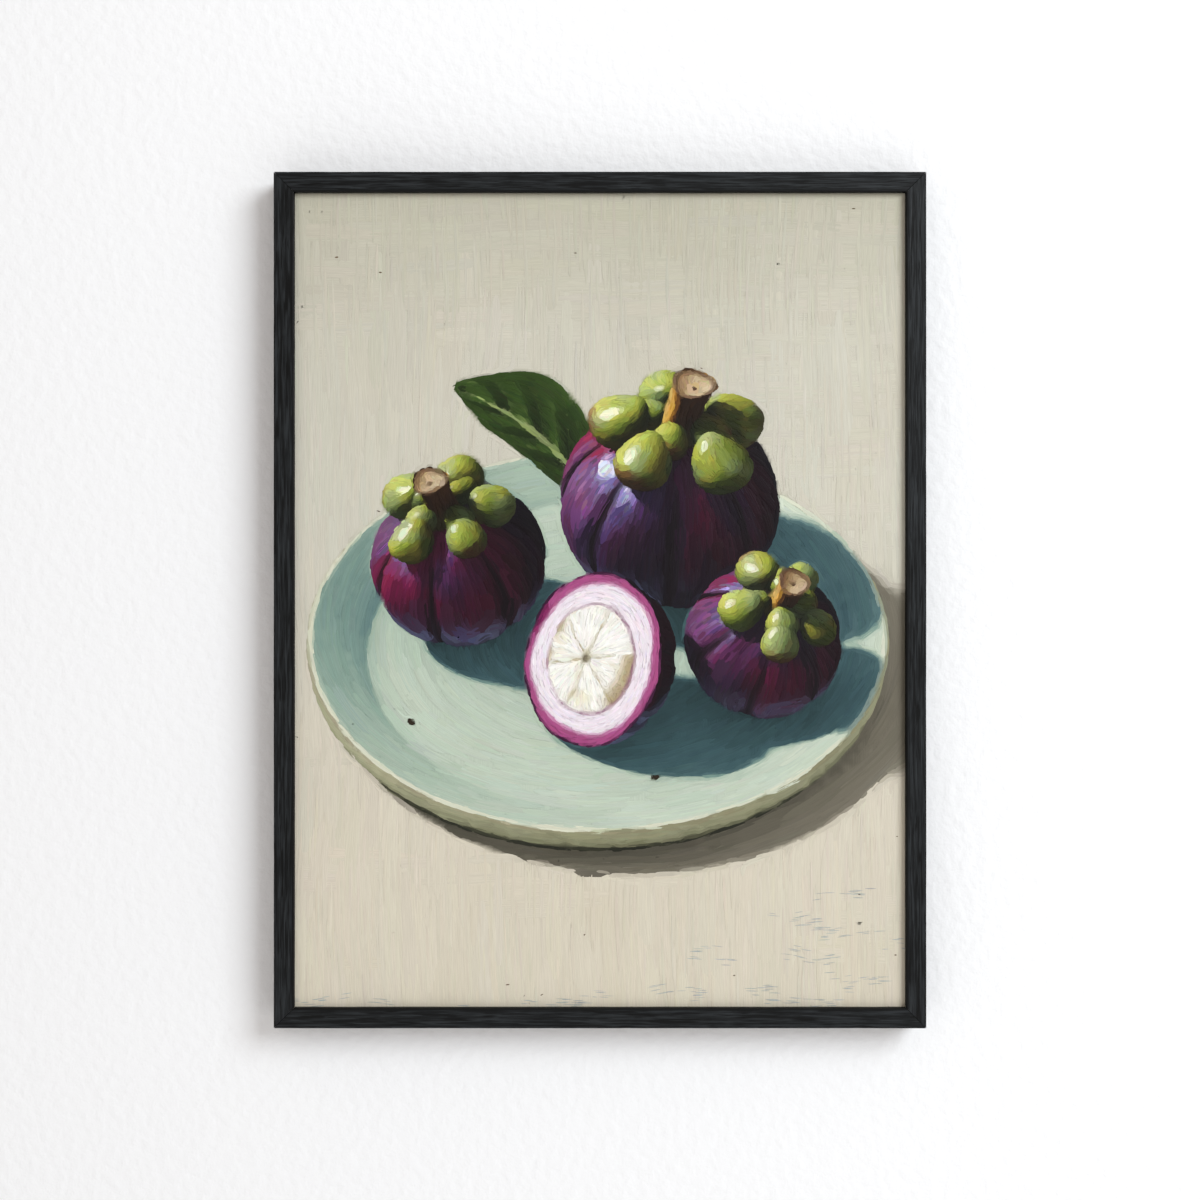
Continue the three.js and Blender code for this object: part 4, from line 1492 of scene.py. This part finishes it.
def hanger(node, material):
    """A sawtooth hanger: a strip raised between its nailed ends, with teeth along its lower edge and
    a pressed rib above them."""
    low, high = corners(node)
    sheet, teeth, pitch, notch = 0.8 * MM, 9, 2.2 * MM, 2.0 * MM
    foot, bend = 9 * MM, 2.4 * MM
    half = (high[0] - low[0]) / 2
    rise = high[1] - low[1] - sheet
    marks = np.array([(i - (teeth - 1) / 2) * pitch for i in range(teeth)])
    slope = 0.4 * pitch
    x = np.unique(np.concatenate([np.linspace(-half, half, 151), marks, marks - slope, marks + slope]))
    off = smooth(half - foot, half - foot - bend, np.abs(x))
    nearest = np.min(np.abs(x[:, None] - marks), axis=1)
    lower = notch * np.clip(1 - nearest / slope, 0, 1)
    corner = 1.1 * MM
    from_corner = corner - np.minimum(half - np.abs(x), corner)
    inset = corner - np.sqrt(np.clip(corner**2 - from_corner**2, 0, None))
    bottom, top = low[2] + lower + inset, high[2] - inset
    soft = 0.12 * MM
    rows = np.linspace(0, 1, 9)
    rib = 0.3 * MM * np.exp(-(((rows - 0.62) / 0.11) ** 2)) * off[:, None]
    z_in = (bottom + soft)[:, None] + (top - bottom - 2 * soft)[:, None] * rows
    base = low[1] + (rise - 0.3 * MM) * off
    front = np.stack([x[:, None] + 0 * z_in, base[:, None] + 0 * z_in, z_in], -1)
    back = np.stack([x[:, None] + 0 * z_in, (base + sheet)[:, None] + rib, z_in], -1)

    def lip(height, level):
        return np.stack([x, base + sheet * level, height], -1)[:, None]

    ring = np.concatenate([
        front, lip(top, 0.15), lip(top, 0.85), back[:, ::-1], lip(bottom, 0.85), lip(bottom, 0.15)], 1)
    faces, first, last = tube_faces(*ring.shape[:2])
    thing = mesh_object("sawtooth_hanger_strip", ring.reshape(-1, 3), [*faces, first, last], [material])
    outward(thing)
    smooth_shade(thing, 35)
    return thing


# The add-on: what a user may change, an operator for each group of pieces, and a panel


class PictureLooks(bpy.types.PropertyGroup):
    stain: FloatVectorProperty(
        name="Stain", description="Colour of the black-stained moulding where the grain is closed",
        subtype="COLOR", min=0, max=1, default=linear("#282b2d")[:3])
    pore_depth: FloatProperty(
        name="Pore depth", description="How deep the open grain of the moulding is",
        subtype="DISTANCE", unit="LENGTH", min=0, default=0.09 * MM)
    relief: FloatProperty(
        name="Paint relief", description="Thickness of a brush stroke for each part of its half width",
        min=0, max=0.5, default=0.045)
    fineness: FloatProperty(
        name="Fineness", description="Spacing in millimetres at which the still life is seen",
        min=0.5, max=5, default=0.8)
    brass: FloatVectorProperty(
        name="Brass", description="Colour of the brass plating on the turn buttons and their screws",
        subtype="COLOR", min=0, max=1, default=linear("#c9a45c")[:3])
    wall: FloatVectorProperty(
        name="Wall", description="Colour of the wall that the picture hangs on",
        subtype="COLOR", min=0, max=1, default=linear("#f5f5f5")[:3])
    daylight: FloatProperty(
        name="Daylight", description="Strength of the even light from all round", min=0, default=0.56)
    lamp: FloatProperty(
        name="Lamp", description="Power of the soft light from the upper right",
        subtype="POWER", unit="POWER", min=0, default=90)
    lamp_size: FloatProperty(
        name="Lamp size", description="Side of the square soft light", subtype="DISTANCE", unit="LENGTH",
        min=0.1, default=1.8)


class PictureMoulding(bpy.types.Operator):
    """Makes the four mitred lengths of moulding and the wedges that pin their corners"""
    bl_idname = "picture.moulding"
    bl_label = "Moulding"

    def execute(self, context):
        looks = context.scene.picture_looks
        oak = black_stained_oak(looks)
        across, up = RIGHT - LEFT, TOP - BOTTOM
        for i, (node, start, along, inward, length) in enumerate((
            ("rail_top", (LEFT, 0, TOP), (1, 0, 0), (0, 0, -1), across),
            ("rail_bottom", (RIGHT, 0, BOTTOM), (-1, 0, 0), (0, 0, 1), across),
            ("stile_left", (LEFT, 0, BOTTOM), (0, 0, 1), (1, 0, 0), up),
            ("stile_right", (RIGHT, 0, TOP), (0, 0, -1), (-1, 0, 0), up),
        )):
            rail = moulding(f"{node}_moulding", start, along, inward, length, oak, looks.pore_depth, i + 1)
            enrol(rail, BODY, "black_stained_oak", node)
        zinc = plated_steel("zinc_plated_steel", "#c3c6c8", "#8d9193", 0.34)
        nodes = nodes_named("corner_wedge_")
        places, turns = [], []
        for node in nodes:
            place = middle(node)
            place[1] = corners(node)[0][1]
            places.append(place)
            side, height = np.sign(place[0] - MIDDLE[0]), np.sign(place[2] - MIDDLE[2])
            turns.append({(-1, 1): 0, (1, 1): 0.5, (1, -1): 1, (-1, -1): -0.5}[(side, height)] * math.pi)
        source = wedge(nodes[0])
        wedges = set_fittings("corner_wedges", source, places, turns, zinc)
        bpy.data.objects.remove(source)
        enrol(wedges, BODY, "zinc_plated_steel", *nodes)
        return {"FINISHED"}


class PicturePainting(bpy.types.Operator):
    """Sets up the still life, looks at it and paints it on the panel stroke by stroke"""
    bl_idname = "picture.painting"
    bl_label = "Painting"

    def execute(self, context):
        ground, pieces = paint_picture(context.scene.picture_looks)
        enrol(ground, BODY, "painted_panel", "picture_panel")
        for piece in pieces:
            enrol(piece, BODY, "painted_panel")
        return {"FINISHED"}


class PictureBacking(bpy.types.Operator):
    """Makes the spacer strips behind the panel and the board that closes the back"""
    bl_idname = "picture.backing"
    bl_label = "Backing"

    def execute(self, context):
        pine = planed_pine()
        for i, node in enumerate(nodes_named("spacer_")):
            strip = slab(f"{node}_strip", node, pine, 0.0, i)
            enrol(strip, BODY, "planed_pine", node)
        hardboard = fibreboard("tempered_hardboard", "#94704b", "#704f33")
        board = slab("backing_hardboard", "backing_board", hardboard, 0.15 * MM, 7)
        enrol(board, BODY, "hardboard", "backing_board")
        return {"FINISHED"}


class PictureFittings(bpy.types.Operator):
    """Makes the turn buttons and their screws, the hanger and its nails, and the wall pads"""
    bl_idname = "picture.fittings"
    bl_label = "Fittings"

    def execute(self, context):
        looks = context.scene.picture_looks
        brass = plated_steel("brass_plated_steel", looks.brass, "#ad8a4a", 0.30)
        zinc = bpy.data.materials["zinc_plated_steel"]

        def scatter(name, nodes, make, head, turn, material, slot):
            source = make(nodes[0])
            under = corners(nodes[0])[1][1] - head
            places = [(middle(node)[0], under, middle(node)[2]) for node in nodes]
            turns = [turn * i for i in range(len(nodes))]
            enrol(set_fittings(name, source, places, turns, material), BODY, slot, *nodes)
            bpy.data.objects.remove(source)

        screws, nails = nodes_named("button_screw_"), nodes_named("hanger_nail_")
        pads = nodes_named("wall_pad_")
        scatter("button_screws", screws, screw, SCREW_HEAD, 0.37 * math.pi, brass, "brass_plated_steel")

        source = turn_button("turn_button_top_left")
        for node in nodes_named("turn_button_"):
            name = node.removeprefix("turn_button_")
            pivot, towards = middle(f"button_screw_{name}"), middle(node)
            turn = math.atan2(pivot[0] - towards[0], pivot[2] - towards[2])
            place = (pivot[0], corners(node)[0][1], pivot[2])
            button = set_fittings(f"button_{name}_plate", source, [place], [turn], brass)
            enrol(button, f"button_{name}", "brass_plated_steel", node)
        bpy.data.objects.remove(source)

        enrol(hanger("sawtooth_hanger", zinc), BODY, "zinc_plated_steel", "sawtooth_hanger")
        scatter("hanger_nails", nails, nail, NAIL_HEAD, 1, zinc, "zinc_plated_steel")
        scatter("wall_pads", pads, wall_pad, extent(pads[0])[1], 1, moulded_rubber(), "black_rubber")
        return {"FINISHED"}


WARM, COOL = (1.0, 0.935, 0.895, 1.0), (0.965, 1.03, 1.085)
HANGS = 1.5  # how high the picture's middle is above the floor
WALL_REACH = 4.0
LAMP_DISTANCE, BACK_LAMP_SIZE = 3.6, 2.2


class PictureStage(bpy.types.Operator):
    """Makes the wall, the floor, the lights and the camera"""
    bl_idname = "picture.stage"
    bl_label = "Wall, light and camera"

    def execute(self, context):
        scene = context.scene
        looks = scene.picture_looks
        plaster = painted_plaster(looks.wall)
        face, floor, reach = BACK_OF_ALL + 0.1 * MM, MIDDLE[2] - HANGS, WALL_REACH

        def sheet(name, *points):
            return mesh_object(name, points, [(0, 1, 2, 3)], [plaster])

        foot = [(-reach, face, floor), (reach, face, floor)]
        wall = sheet("wall", *foot, (reach, face, reach), (-reach, face, reach))
        wall.visible_shadow = wall.visible_diffuse = wall.visible_glossy = False
        near = [(-reach, -reach, floor), (reach, -reach, floor)]
        ground = sheet("floor", *near, (reach, reach, floor), (-reach, reach, floor))
        scene.world = bpy.data.worlds.new("even_light")
        scene.world.use_nodes = True
        tree = scene.world.node_tree
        tree.nodes.clear()
        light = add(tree, "ShaderNodeBackground", {"Color": WARM, "Strength": looks.daylight})
        add(tree, "ShaderNodeOutputWorld", {"Surface": light.outputs[0]})
        for name, way, size in (
            ("lamp", (1.0, -1.15, 0.70), looks.lamp_size), ("back_lamp", (-0.6, 1.3, 0.8), BACK_LAMP_SIZE),
        ):
            data = bpy.data.lights.new(name, "AREA")
            data.size, data.energy, data.color = size, looks.lamp, COOL
            thing = put(name, data)
            offset = Vector(way).normalized() * LAMP_DISTANCE
            thing.location = Vector(MIDDLE) + offset
            thing.rotation_euler = offset.to_track_quat("Z", "Y").to_euler()
        data = bpy.data.cameras.new("camera")
        camera = put("camera", data)
        camera.location = (MIDDLE[0], FRONT - CAMERA_DISTANCE, MIDDLE[2])
        camera.rotation_euler = (math.pi / 2, 0, 0)
        data.lens = data.sensor_width * CAMERA_DISTANCE / SEEN_WIDTH
        scene.camera = camera
        scene.view_settings.view_transform = "Standard"
        return {"FINISHED"}


class PicturePanel(bpy.types.Panel):
    bl_idname = "VIEW3D_PT_framed_picture"
    bl_label = "Framed picture"
    bl_space_type = "VIEW_3D"
    bl_region_type = "UI"
    bl_category = "Picture"

    def draw(self, context):
        looks = context.scene.picture_looks
        for name in PictureLooks.__annotations__:
            self.layout.prop(looks, name)
        for operator in OPERATORS:
            self.layout.operator(operator.bl_idname)


OPERATORS = (PictureMoulding, PicturePainting, PictureBacking, PictureFittings, PictureStage)


def register():
    for kind in (PictureLooks, *OPERATORS, PicturePanel):
        bpy.utils.register_class(kind)
    bpy.types.Scene.picture_looks = PointerProperty(type=PictureLooks)


def unregister():
    del bpy.types.Scene.picture_looks
    for kind in reversed((PictureLooks, *OPERATORS, PicturePanel)):
        bpy.utils.unregister_class(kind)


def main():
    register()
    bpy.ops.picture.moulding()
    bpy.ops.picture.painting()
    bpy.ops.picture.backing()
    bpy.ops.picture.fittings()
    bpy.ops.picture.stage()


if __name__ == "__main__":
    main()
